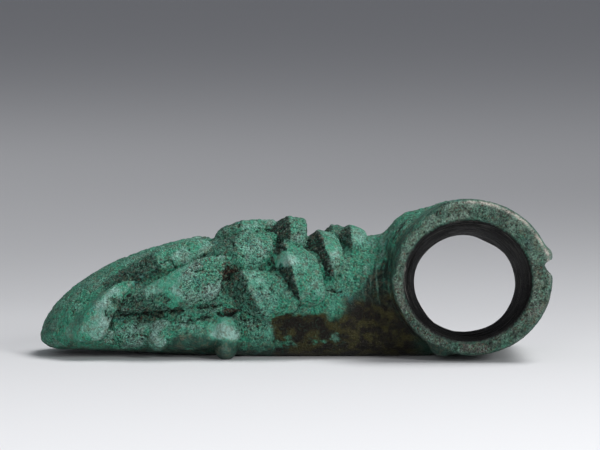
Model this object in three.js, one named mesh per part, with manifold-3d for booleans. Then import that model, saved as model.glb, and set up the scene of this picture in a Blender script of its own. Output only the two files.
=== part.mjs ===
// A cast bronze shaft-hole axe head, lying on its cheek.
//
// One solid: a thick rounded blade, clad in overlapping blunt lappets, that runs into a socket ring.
// Frame: millimetres, +Z up. The blade points to -X, the shaft hole runs along Y, and the
// blade lies on z = 0. The origin is under the middle of the casting's box.
import * as THREE from "three";
import { mergeVertices } from "three/addons/utils/BufferGeometryUtils.js";
import Module from "manifold-3d";

const wasm = await Module();
wasm.setup();

// Blade: its plain skin, under the lappets.
const NOSE_X = -63.5; // foremost point of the cutting edge
const NOSE_Z = 4.6; // its height above the ground
const NOSE_ROUND = 5; // length of the rounding under the edge
const CREST_X = -20; // where the back of the blade reaches its full height
const CREST_Z = 29.2; // that height
const CREST_BEND = 1.7; // exponent of the arc from the edge up to the crest
const KEEL_FORE = 1.6; // clearance under the front of the blade
const KEEL_REAR = -0.4; // the rear is cast a little proud and worn flat
const KEEL_RISE_X = -5; // in front of this the underside lifts
const HALF_EDGE = 16; // half the blade's breadth near the edge
const HALF_NECK = 13.5; // and at the neck
const PLAN_X = -46; // in front of this the plan rounds off
const PLAN_BEND = 2.6;
const BELT = 0.38; // height of the broadest line, as a share of the section
const UPPER_BEND = 1.85; // exponents of the section above and below that line
const LOWER_BEND = 3.2;
const NECK_X = 17; // the back starts to climb to the socket here
const NECK_RISE = 2; // and climbs by this
const BLADE_END_X = 36; // the blade's solid ends inside the socket wall

// Socket ring: a slightly tapered tube whose near mouth stands a little higher than the far one.
const SOCKET_X = 43.6;
const SOCKET_NEAR = { y: -21.9, z: 20.8, across: 19.9, up: 19.2 };
const SOCKET_FAR = { y: 22.1, z: 17.1, across: 17.4, up: 17.2 };
const BORE_NEAR = { x: 42.5, z: 19.9, across: 15.4, up: 14.6 };
const BORE_FAR = { x: 43.3, z: 15.6, across: 12.9, up: 12.3 };
const MOUTH_ROUND = 1.4; // rounded outer rim of each mouth
const SOCKET_SIDES = 40;
const BORE_SIDES = 32;

// Egg-shaped masses: the swollen shoulders where blade and socket meet, and a drip of casting
// metal under the near mouth.
const SHOULDERS = [
  { middle: [31.7, -5, 27.3], radii: [9.6, 15, 9.4] },
  { middle: [38.5, -9, 29], radii: [9.4, 12.4, 9.8] },
];
const DRIP = { middle: [36.6, -18.8, 3.6], radii: [3.7, 3.3, 2.8] };
// Swollen knobs and the roll between them, low on each cheek.
const NEAR_FOOT = [
  { middle: [-16.7, -13.6, 7.3], radii: [3.8, 5.2, 4.3] },
  { middle: [-17, -13.6, 3.6], radii: [3, 4.8, 4.1] },
  { middle: [-25, -13, 6.6], radii: [11, 3.9, 4.4] },
  { middle: [-32.5, -14.3, 7.5], radii: [2.8, 3.3, 2.8] },
  { middle: [-33.6, -14.3, 4.9], radii: [2.7, 3.2, 3] },
];
const FAR_FOOT = [
  { middle: [-17, 12.9, 5.1], radii: [6, 4.1, 4.5] },
  { middle: [-27, 13.4, 6.6], radii: [11, 3, 3] },
];
// Taken out: a hollow under the long side lappet, one under the blade, and the worn nick in the
// near rim, opposite the blade.
const HOLLOWS = [
  { middle: [-36, -17.4, 12.2], radii: [10.5, 4.6, 3.8] },
  { middle: [-25, -15.5, 0], radii: [7.5, 6.5, 2.2] },
];
const NICK = { middle: [64.2, -22, 23.4], radii: [2.9, 27, 2.2] };

// Lappets: horn-like tongues that lie over the skin, rooted towards the edge and round-ended
// towards the socket.
//   x, turn: the middle of the ridge; turn is in degrees from the crest down the side
//   heading: the tongue's way over the skin, 0 towards the socket and 90 down the side
//   root, end: lengths of the long slope and of the round-ended facet
//   width, rise: length and height of the ridge
//   skew, bow: the ridge's lean along the heading, and how far its ends lie ahead of its middle
//   lip: share of the height that is left at the facet's end
//   taper: width of the root over that of the ridge
//   blunt: exponent of the slope's climb, low for one that starts steeply
const TONGUE_KEYS = [
  "x", "turn", "heading", "root", "end", "width", "skew", "bow", "rise", "lip", "taper", "blunt",
];
const named = (row) => Object.fromEntries(TONGUE_KEYS.map((key, i) => [key, row[i]]));
const CREST_TONGUES = [
  [-12.8, 0, 0, 7.2, 7.8, 9, -0.1, 0, 4.2, 1.08, 0.7, 0.5],
  [-1.6, 0, 0, 6, 4.4, 20, 0.1, 0, 5.1, 0.88, 0.5, 0.5],
  [9.4, 0, 0, 2.8, 2.8, 8, 0, 0, 3.2, 0.8, 0.6, 0.7],
  [13.6, 0, 0, 3.2, 4, 18, 0.1, 0, 3.2, 0.45, 0.5, 0.6],
].map(named);
const SIDE_TONGUES = [
  [-51, 79, 5, 5.5, 6.6, 16.5, -0.52, 3.6, 2.8, 0.95, 0.7, 1.6],
  [-34.3, 38, -14, 14.3, 14, 7.4, 0.1, 0.9, 2.2, 0.8, 0.8, 1.2],
  [-27.9, 66, -10, 18, 10.6, 9.6, -0.55, 3.4, 5, 0.6, 0.2, 0.9],
  [-14.3, 34, -8, 10, 8.9, 11.2, -0.35, 2.5, 3.7, 0.66, 0.4, 0.8],
  [-11, 73, -4, 5.2, 11, 10.5, 0.55, 0.7, 4.6, 0.45, 0.7, 1],
  [-1.2, 54, 8, 4.6, 8, 13, 0.5, 0.7, 5, 0.52, 0.7, 0.9],
  [7.2, 34, -16, 4.6, 4.2, 14, 0.05, 0.4, 3.6, 0.6, 0.7, 0.9],
].map(named);
const GIRTH_RADIUS = 15; // turns a length round the side into an angle
const TONGUE_ROOT = 2.5; // how deep a tongue is rooted under the skin
const FAR_SIDE_RISE = 0.85; // the hidden cheek is more worn
const SLOPE_STEPS = 4; // rows of points from a tongue's root to its ridge
const FACET_STEPS = 2; // and from the ridge to its end
const ARCH_STEPS = 8; // points across it
const UNDER_SHARE = 0.9; // its underside is a little narrower than the tongue

const clamp = (value) => Math.min(1, Math.max(0, value));
const ease = (value) => clamp(value) ** 2 * (3 - 2 * clamp(value));
const bend = (value, power) => Math.sign(value) * Math.abs(value) ** power;
const arc = (value, power) => (1 - clamp(value) ** power) ** (1 / power);

// Top, bottom and half breadth of the blade's skin at a distance x along it.
function section(x) {
  const fore = (CREST_X - x) / (CREST_X - NOSE_X);
  const climb = NECK_RISE * ease((x - NECK_X) / (BLADE_END_X - NECK_X));
  const top = NOSE_Z + (CREST_Z - NOSE_Z) * arc(fore, CREST_BEND) + climb;
  const keel = KEEL_FORE + (KEEL_REAR - KEEL_FORE) * ease((x - NOSE_X) / (KEEL_RISE_X - NOSE_X));
  const under = (NOSE_X + NOSE_ROUND - x) / NOSE_ROUND;
  const bottom = NOSE_Z - (NOSE_Z - keel) * arc(under, 2);
  const waist = (x - NOSE_X) / (NECK_X - NOSE_X);
  const plan = arc((PLAN_X - x) / (PLAN_X - NOSE_X), PLAN_BEND);
  const half = (HALF_EDGE + (HALF_NECK - HALF_EDGE) * ease(waist)) * plan;
  return { top, bottom, half };
}

// A point of the blade's skin. turn is 0 on the crest and a quarter turn on the near side.
function skin(x, turn) {
  const { top, bottom, half } = section(x);
  const belt = bottom + BELT * (top - bottom);
  const power = 2 / (Math.cos(turn) > 0 ? UPPER_BEND : LOWER_BEND);
  const reach = Math.cos(turn) > 0 ? top - belt : belt - bottom;
  const y = -half * bend(Math.sin(turn), power);
  return new THREE.Vector3(x, y, belt + reach * bend(Math.cos(turn), power));
}

// A point standing a height above the skin, along its outward normal.
function overSkin(x, turn, height) {
  const step = 0.02;
  const along = skin(x + step, turn).sub(skin(x - step, turn));
  const round = skin(x, turn + step).sub(skin(x, turn - step));
  const normal = round.cross(along).normalize();
  return skin(x, turn).addScaledVector(normal, height);
}

// A closed solid skinned over rings of equally many points, with a fan over each end ring.
function ringSolid(rings) {
  const sides = rings[0].length;
  const points = rings.flat();
  const faces = [];
  for (let i = 0; i + 1 < rings.length; i += 1) {
    for (let j = 0; j < sides; j += 1) {
      const a = i * sides + j;
      const b = i * sides + ((j + 1) % sides);
      if (points[a].distanceTo(points[b + sides]) < points[b].distanceTo(points[a + sides])) {
        faces.push(a, b, b + sides, a, b + sides, a + sides);
      } else {
        faces.push(a, b, a + sides, b, b + sides, a + sides);
      }
    }
  }
  for (const [start, turned] of [[0, true], [(rings.length - 1) * sides, false]]) {
    const hub = points.length;
    const middle = new THREE.Vector3();
    points.slice(start, start + sides).forEach((point) => middle.addScaledVector(point, 1 / sides));
    points.push(middle);
    for (let j = 0; j < sides; j += 1) {
      const a = start + j;
      const b = start + ((j + 1) % sides);
      faces.push(...(turned ? [hub, b, a] : [hub, a, b]));
    }
  }
  return facingOut(new THREE.BufferGeometry().setFromPoints(points).setIndex(faces));
}

// Makes a manifold solid of a closed geometry, and turns its faces round if they point inwards.
function facingOut(geometry) {
  geometry.deleteAttribute("normal");
  geometry.deleteAttribute("uv");
  const merged = mergeVertices(geometry, 1e-4);
  const build = (order) =>
    new wasm.Manifold(
      new wasm.Mesh({
        numProp: 3,
        vertProperties: new Float32Array(merged.attributes.position.array),
        triVerts: new Uint32Array(order),
      }),
    );
  const order = Array.from(merged.index.array);
  const solid = build(order);
  return solid.volume() > 0 ? solid : build(order.reverse());
}

// The blade's plain body, from the cutting edge to the inside of the socket wall.
function blade() {
  const stations = 24;
  const sides = 28;
  const rings = [];
  for (let i = 0; i <= stations; i += 1) {
    const x = NOSE_X + 0.1 + (BLADE_END_X - NOSE_X) * (i / stations) ** 1.6;
    const ring = [];
    for (let j = 0; j < sides; j += 1) {
      ring.push(skin(x, (j / sides) * 2 * Math.PI));
    }
    rings.push(ring);
  }
  return ringSolid(rings);
}

// How high a tongue stands at a place from its root (-1) over its ridge (0) to its end (1), and at
// a share of its half width.
function climb(form, place, share) {
  const slope = 0.04 + 0.96 * clamp(1 + Math.min(place, 0)) ** form.blunt;
  const facet = 1 - (1 - form.lip) * Math.max(place, 0) ** 1.4;
  return slope * facet * Math.sqrt(clamp(1 - Math.abs(share) ** 3));
}

// Half a tongue's width at a place along it.
function breadth(form, place) {
  return (form.width / 2) * (1 - (1 - form.taper) * Math.max(-place, 0) ** 1.2);
}

// One tongue, laid over the skin of the near side (side 1) or the far side (side -1).
function tongue(form, side) {
  const turn = THREE.MathUtils.degToRad(form.turn);
  const heading = THREE.MathUtils.degToRad(form.heading);
  const rise = form.rise * (side > 0 ? 1 : FAR_SIDE_RISE);
  const over = (place, share, height) => {
    const aside = share * breadth(form, place);
    const ahead = place < 0 ? place * form.root : place * form.end * arc(Math.abs(share), 2.5);
    const along = ahead + form.skew * aside + form.bow * ((2 * aside) / form.width) ** 2;
    const x = form.x + Math.cos(heading) * along - Math.sin(heading) * aside;
    const girth = Math.sin(heading) * along + Math.cos(heading) * aside;
    return overSkin(x, side * (turn + girth / GIRTH_RADIUS), height);
  };
  const shares = [];
  for (let i = 0; i <= ARCH_STEPS; i += 1) {
    shares.push(Math.sin(((2 * i) / ARCH_STEPS - 1) * (Math.PI / 2)));
  }
  const rings = [];
  for (let i = -SLOPE_STEPS; i <= FACET_STEPS; i += 1) {
    const place = i / (i < 0 ? SLOPE_STEPS : FACET_STEPS);
    const arch = shares.map((share) => over(place, share, rise * climb(form, place, share)));
    const under = [UNDER_SHARE, 0].map((share) => over(place, share, -TONGUE_ROOT));
    rings.push([over(place, -UNDER_SHARE, -TONGUE_ROOT), ...arch, ...under]);
  }
  // The facet ends in a wall, down to a last ring under the skin.
  const last = [-UNDER_SHARE, ...shares, UNDER_SHARE, 0];
  rings.push(last.map((share) => over(1, share, -TONGUE_ROOT)));
  return ringSolid(rings);
}

// An upright ellipse of the socket, leaning with the socket's axis.
function mouth(x, y, z, across, up, sides) {
  const axis = new THREE.Vector3(0, SOCKET_FAR.y - SOCKET_NEAR.y, SOCKET_FAR.z - SOCKET_NEAR.z).normalize();
  const upward = new THREE.Vector3(1, 0, 0).cross(axis);
  const ring = [];
  for (let j = 0; j < sides; j += 1) {
    const angle = (j / sides) * 2 * Math.PI;
    const point = new THREE.Vector3(x + across * Math.cos(angle), y, z);
    ring.push(point.addScaledVector(upward, up * Math.sin(angle)));
  }
  return ring;
}

// The socket ring's outside, with rounded rims at both mouths.
function socket() {
  const ringAt = (share, inset) => {
    const mix = (key) => THREE.MathUtils.lerp(SOCKET_NEAR[key], SOCKET_FAR[key], share);
    return mouth(SOCKET_X, mix("y"), mix("z"), mix("across") - inset, mix("up") - inset, SOCKET_SIDES);
  };
  const rim = MOUTH_ROUND / (SOCKET_FAR.y - SOCKET_NEAR.y);
  const walls = [rim, 0.5, 1 - rim].map((share) => ringAt(share, 0));
  return ringSolid([ringAt(0, MOUTH_ROUND), ...walls, ringAt(1, MOUTH_ROUND)]);
}

// The tapered shaft hole, run past both mouths.
function bore() {
  const past = 0.15;
  const rings = [-past, 1 + past].map((share) => {
    const mix = (key) => THREE.MathUtils.lerp(BORE_NEAR[key], BORE_FAR[key], share);
    const y = THREE.MathUtils.lerp(SOCKET_NEAR.y, SOCKET_FAR.y, share);
    return mouth(mix("x"), y, mix("z"), mix("across"), mix("up"), BORE_SIDES);
  });
  return ringSolid(rings);
}

// An egg-shaped solid.
function egg({ middle, radii }) {
  return facingOut(new THREE.SphereGeometry(1, 16, 10).scale(...radii).translate(...middle));
}

// Everything below the ground, which the resting spots are worn flat to.
function ground() {
  const size = 200;
  return facingOut(new THREE.BoxGeometry(size, size, size).translate(0, 0, -size / 2));
}

function casting() {
  let solid = blade();
  for (const hollow of HOLLOWS) {
    solid = solid.subtract(egg(hollow));
  }
  for (const form of CREST_TONGUES) {
    solid = solid.add(tongue(form, 1));
  }
  for (const form of SIDE_TONGUES) {
    solid = solid.add(tongue(form, 1)).add(tongue(form, -1));
  }
  for (const mass of [...SHOULDERS, DRIP, ...NEAR_FOOT, ...FAR_FOOT]) {
    solid = solid.add(egg(mass));
  }
  return solid.add(socket()).subtract(bore()).subtract(egg(NICK)).subtract(ground());
}

const { vertProperties, triVerts } = casting().getMesh();
const geometry = new THREE.BufferGeometry();
geometry.setAttribute("position", new THREE.BufferAttribute(vertProperties, 3));
geometry.setIndex(new THREE.BufferAttribute(triVerts, 1));
geometry.computeVertexNormals();

const bronze = new THREE.MeshStandardMaterial({ color: 0x2f6f5a, roughness: 0.7, metalness: 0.35 });
const axeHead = new THREE.Mesh(geometry, bronze);
axeHead.name = "axe_head";

const part = new THREE.Group();
part.add(axeHead);
export default part;
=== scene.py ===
"""Cast surface, patina and studio of a bronze shaft-hole axe head.

Shapes are worked out in millimetres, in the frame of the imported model, and written in metres.
The blade points to -X, the shaft hole runs along Y, and the casting lies on z = 0.
"""

from __future__ import annotations

import logging
import math
from dataclasses import dataclass, field, replace
from enum import Enum, IntEnum

import bpy
import numpy as np
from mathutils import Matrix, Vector

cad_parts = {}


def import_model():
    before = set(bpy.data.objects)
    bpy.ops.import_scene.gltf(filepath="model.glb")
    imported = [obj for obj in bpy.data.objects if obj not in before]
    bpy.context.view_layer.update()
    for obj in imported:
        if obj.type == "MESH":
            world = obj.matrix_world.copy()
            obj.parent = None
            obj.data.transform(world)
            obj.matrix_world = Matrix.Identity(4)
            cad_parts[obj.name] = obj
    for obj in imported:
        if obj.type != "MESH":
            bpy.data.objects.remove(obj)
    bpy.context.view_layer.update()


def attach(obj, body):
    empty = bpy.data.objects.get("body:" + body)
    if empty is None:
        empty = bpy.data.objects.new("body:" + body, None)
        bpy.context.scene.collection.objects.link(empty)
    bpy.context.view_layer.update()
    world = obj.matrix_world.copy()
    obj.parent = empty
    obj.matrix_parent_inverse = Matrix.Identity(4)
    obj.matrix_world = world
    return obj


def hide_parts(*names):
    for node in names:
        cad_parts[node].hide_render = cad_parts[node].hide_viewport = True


Array = np.ndarray
Colour = tuple[float, float, float]

# One millimetre in metres, and the way along Y from one mouth's middle to the other in millimetres.
MM = 0.001
MOUTH_GAP = 44.0
NODE = "axe_head"
LOG = logging.getLogger("axe_head")


class Cheek(Enum):
    """The two sides of the blade, as the sign of the turn from the crest."""

    NEAR = 1
    FAR = -1


def clamp01(value: Array) -> Array:
    """Returns the value held between 0 and 1."""
    return np.clip(value, 0.0, 1.0)


def ease(value: Array) -> Array:
    """Returns the smooth step of a value, 3 t squared minus 2 t cubed, held between 0 and 1."""
    held = clamp01(value)
    return held * held * (3.0 - 2.0 * held)


def signed_power(value: Array, power: float) -> Array:
    """Returns a power of the value's size, with the value's own sign."""
    return np.sign(value) * np.abs(value) ** power


def arc(value: Array, power: float) -> Array:
    """Returns the quarter superellipse (1 - v^p)^(1/p) of a share between 0 and 1."""
    return (1.0 - clamp01(value) ** power) ** (1.0 / power)


def bump(distance: Array, reach: float) -> Array:
    """Returns a bell exp(-(d / r)^2), 1 in the middle and near 0 at twice the reach."""
    return np.exp(-((distance / reach) ** 2))


# ---------------------------------------------------------------------------------------------
# Noise
# ---------------------------------------------------------------------------------------------


class Seed(IntEnum):
    """The random fields of the casting, each with the number that picks it."""

    BROAD = 11
    MIDDLE = 23
    FLAKES = 31
    PITS = 41
    GRIT = 53
    CRACKS = 137
    CRACKED_PLACES = 139
    SCARS = 71
    FINE_RINGS = 83
    BROAD_RINGS = 89
    FLOW = 67
    PATCHES = 97
    TONE = 103
    NECK = 101
    NECK_EDGE = 149
    METAL = 107
    METAL_CRUSTS = 131
    RIM = 109
    STREAKS = 113
    DIRT = 127


@dataclass(frozen=True)
class Noise:
    """Repeatable random fields in space.

    Attributes:
        seed: Number that picks the field.
    """

    seed: int

    def _hash(self, cell: Array, salt: int) -> Array:
        """Mixes integer cells into random numbers.

        Args:
            cell: Whole coordinates, (..., 3).
            salt: Picks one of several numbers for a cell.

        Returns:
            Numbers between 0 and 1, (...).
        """
        x, y, z = (cell[..., axis].astype(np.int64).astype(np.uint32) for axis in range(3))
        mixed = x * np.uint32(73856093) ^ y * np.uint32(19349663) ^ z * np.uint32(83492791)
        mixed = mixed ^ np.uint32((self.seed * 2654435761 + salt * 40503) & 0xFFFFFFFF)
        mixed = (mixed ^ (mixed >> np.uint32(15))) * np.uint32(2246822519)
        mixed = (mixed ^ (mixed >> np.uint32(13))) * np.uint32(3266489917)
        mixed = mixed ^ (mixed >> np.uint32(16))
        return mixed.astype(np.float64) / 4294967295.0

    def smooth(self, points: Array, size: float) -> Array:
        """Gradient noise: random slopes at lattice corners, blended with a quintic ease.

        Args:
            points: Places, (..., 3).
            size: Length of one lattice cell.

        Returns:
            Values of about -1 to 1, (...).
        """
        place = points / size
        corner = np.floor(place)
        inside = place - corner
        weight = inside**3 * (inside * (inside * 6.0 - 15.0) + 10.0)
        total = np.zeros(points.shape[:-1])
        for step in np.ndindex(2, 2, 2):
            offset = np.array(step, float)
            slopes = [self._hash(corner + offset, salt) * 2.0 - 1.0 for salt in range(3)]
            away = inside - offset
            value = sum(slope * away[..., axis] for axis, slope in enumerate(slopes))
            blend = np.prod(np.where(offset > 0, weight, 1.0 - weight), axis=-1)
            total += value * blend
        return total * 1.6

    def fractal(self, points: Array, size: float, octaves: int, gain: float = 0.5) -> Array:
        """Sums octaves of smooth noise, each half the size and gain times the height of the last.

        Args:
            points: Places, (..., 3).
            size: Cell length of the first octave.
            octaves: Number of octaves.
            gain: Height of each octave over the one before.

        Returns:
            Values of about -1 to 1, (...).
        """
        total = np.zeros(points.shape[:-1])
        height = 1.0
        for octave in range(octaves):
            layer = Noise(self.seed + 17 * octave)
            total += height * layer.smooth(points, size / 2**octave)
            height *= gain
        return total

    def cells(self, points: Array, size: float) -> tuple[Array, Array]:
        """Distance to the nearest of one random point in each lattice cell.

        Args:
            points: Places, (..., 3).
            size: Length of one lattice cell.

        Returns:
            The distance as a share of the cell, and a random number of the nearest point.
        """
        place = points / size
        home = np.floor(place)
        nearest = np.full(points.shape[:-1], 9.0)
        label = np.zeros(points.shape[:-1])
        for step in np.ndindex(3, 3, 3):
            cell = home + np.array(step, float) - 1.0
            seedlings = np.stack([self._hash(cell, salt) for salt in (5, 6, 7)], axis=-1)
            away = np.linalg.norm(cell + seedlings - place, axis=-1)
            closer = away < nearest
            nearest = np.where(closer, away, nearest)
            label = np.where(closer, self._hash(cell, 8), label)
        return nearest, label


# ---------------------------------------------------------------------------------------------
# Shapes
# ---------------------------------------------------------------------------------------------


@dataclass
class Shell:
    """A closed surface, as points and faces.

    Attributes:
        points: Vertex places in millimetres, (n, 3).
        faces: Vertex numbers of each face, as lists.
    """

    points: Array
    faces: list[list[int]]

    @classmethod
    def from_rings(cls, rings: Array) -> Shell:
        """Skins a grid that is closed across its columns, with a fan over its first and last row.

        Args:
            rings: Rows of ring points, (rows, columns, 3).

        Returns:
            The closed shell.
        """
        rows, columns, _ = rings.shape
        points = rings.reshape(-1, 3)
        number = np.arange(rows * columns).reshape(rows, columns)
        after = np.roll(number, -1, axis=1)
        quads = np.stack([number[:-1], after[:-1], after[1:], number[1:]], axis=-1).reshape(-1, 4)
        hubs = np.stack([rings[0].mean(axis=0), rings[-1].mean(axis=0)])
        first = np.stack([np.full(columns, len(points)), after[0], number[0]], axis=-1)
        last = np.stack([np.full(columns, len(points) + 1), number[-1], after[-1]], axis=-1)
        faces = quads.tolist() + first.tolist() + last.tolist()
        return cls(np.vstack([points, hubs]), faces)

    def turned_out(self) -> Shell:
        """Points the faces outwards, told by the sign of the enclosed volume.

        Returns:
            The shell, turned inside out where it has to be.
        """
        volume = 0.0
        for size in (3, 4):
            corners = np.array([face for face in self.faces if len(face) == size]).reshape(-1, size)
            for other in range(1, size - 1):
                a, b, c = (self.points[corners[:, k]] for k in (0, other, other + 1))
                volume += np.einsum("ij,ij->", a, np.cross(b, c))
        if volume < 0.0:
            return Shell(self.points, [face[::-1] for face in self.faces])
        return self

    def to_object(self, name: str) -> bpy.types.Object:
        """Makes a Blender object of the shell, in millimetres.

        Args:
            name: The object's name.

        Returns:
            The new object, linked to the scene.
        """
        out = self.turned_out()
        mesh = bpy.data.meshes.new(name)
        mesh.from_pydata(out.points.tolist(), [], out.faces)
        mesh.update()
        made = bpy.data.objects.new(name, mesh)
        bpy.context.scene.collection.objects.link(made)
        return made


@dataclass(frozen=True)
class BladeSkin:
    """The blade's plain skin, under its lappets: superellipse sections along X.

    Attributes:
        nose_x: Foremost point of the cutting edge.
        nose_z: Height of that point above the ground.
        nose_round: Length of the rounding under the edge.
        crest_x: Where the back reaches its full height.
        crest_z: That height.
        crest_bend: Exponent of the arc from the edge up to the crest.
        keel_fore: Clearance under the front of the blade.
        keel_rear: Underside at the rear, cast a little proud and worn flat.
        keel_rise_x: In front of this the underside lifts.
        half_edge: Half the breadth near the edge.
        half_neck: Half the breadth at the neck.
        plan_x: In front of this the plan rounds off.
        plan_bend: Exponent of that rounding.
        belt: Height of the broadest line, as a share of the section.
        upper_bend: Exponent of the section above that line.
        lower_bend: Exponent of the section below it.
        neck_x: The back starts to climb to the socket here.
        neck_rise: Height of that climb.
        end_x: The blade's solid ends here, inside the socket wall.
    """

    nose_x: float = -63.5
    nose_z: float = 4.6
    nose_round: float = 5.0
    crest_x: float = -20.0
    crest_z: float = 29.2
    crest_bend: float = 1.7
    keel_fore: float = 1.6
    keel_rear: float = -0.4
    keel_rise_x: float = -5.0
    half_edge: float = 16.0
    half_neck: float = 13.5
    plan_x: float = -46.0
    plan_bend: float = 2.6
    belt: float = 0.38
    upper_bend: float = 1.85
    lower_bend: float = 3.2
    neck_x: float = 17.0
    neck_rise: float = 2.0
    end_x: float = 36.0

    def section(self, x: Array) -> tuple[Array, Array, Array]:
        """Finds the section at a distance along the blade.

        Args:
            x: Places along the blade.

        Returns:
            Its top, its bottom and half its breadth.
        """
        fore = (self.crest_x - x) / (self.crest_x - self.nose_x)
        climb = self.neck_rise * ease((x - self.neck_x) / (self.end_x - self.neck_x))
        top = self.nose_z + (self.crest_z - self.nose_z) * arc(fore, self.crest_bend) + climb
        lift = ease((x - self.nose_x) / (self.keel_rise_x - self.nose_x))
        keel = self.keel_fore + (self.keel_rear - self.keel_fore) * lift
        under = (self.nose_x + self.nose_round - x) / self.nose_round
        bottom = self.nose_z - (self.nose_z - keel) * arc(under, 2.0)
        waist = ease((x - self.nose_x) / (self.neck_x - self.nose_x))
        plan = arc((self.plan_x - x) / (self.plan_x - self.nose_x), self.plan_bend)
        half = (self.half_edge + (self.half_neck - self.half_edge) * waist) * plan
        return top, bottom, half

    def point(self, x: Array, turn: Array) -> Array:
        """Finds points of the skin: a superellipse of x and of the turn round the section.

        Args:
            x: Places along the blade.
            turn: Angles from the crest, positive down the near side, in radians.

        Returns:
            The points, (..., 3).
        """
        top, bottom, half = self.section(x)
        belt = bottom + self.belt * (top - bottom)
        upper = np.cos(turn) > 0.0
        power = np.where(upper, 2.0 / self.upper_bend, 2.0 / self.lower_bend)
        reach = np.where(upper, top - belt, belt - bottom)
        y = -half * signed_power(np.sin(turn), power)
        z = belt + reach * signed_power(np.cos(turn), power)
        return np.stack(np.broadcast_arrays(x, y, z), axis=-1)

    def over(self, x: Array, turn: Array, height: Array) -> Array:
        """Finds points standing a height above the skin, along its outward normal.

        Args:
            x: Places along the blade.
            turn: Angles from the crest, in radians.
            height: Heights above the skin.

        Returns:
            The points, (..., 3).
        """
        step = 0.02
        along = self.point(x + step, turn) - self.point(x - step, turn)
        round_ = self.point(x, turn + step) - self.point(x, turn - step)
        normal = np.cross(round_, along)
        normal /= np.maximum(np.linalg.norm(normal, axis=-1, keepdims=True), 1e-9)
        return self.point(x, turn) + normal * np.asarray(height)[..., None]

    def turn_of(self, points: Array) -> Array:
        """Finds the turn of points on or near the skin, by undoing the section's superellipse.

        Args:
            points: Places, (n, 3).

        Returns:
            Angles from the crest, positive on the near side, in radians.
        """
        x = np.clip(points[:, 0], self.nose_x + 0.5, self.end_x)
        top, bottom, half = self.section(x)
        belt = bottom + self.belt * (top - bottom)
        upper = points[:, 2] > belt
        power = np.where(upper, self.upper_bend / 2.0, self.lower_bend / 2.0)
        reach = np.where(upper, top - belt, belt - bottom)
        across = signed_power(-points[:, 1] / np.maximum(half, 0.5), power)
        up = signed_power((points[:, 2] - belt) / np.maximum(reach, 0.5), power)
        return np.arctan2(across, up)

    def shell(self) -> Shell:
        """Works out the blade's body, with rows closer together towards the edge.

        Returns:
            The closed shell.
        """
        share = np.linspace(0.0, 1.0, 150) ** 1.4
        x = self.nose_x + 0.02 + (self.end_x - self.nose_x) * share
        turn = np.linspace(0.0, 2.0 * math.pi, 128, endpoint=False)
        return Shell.from_rings(self.point(x[:, None], turn[None, :]))


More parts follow.
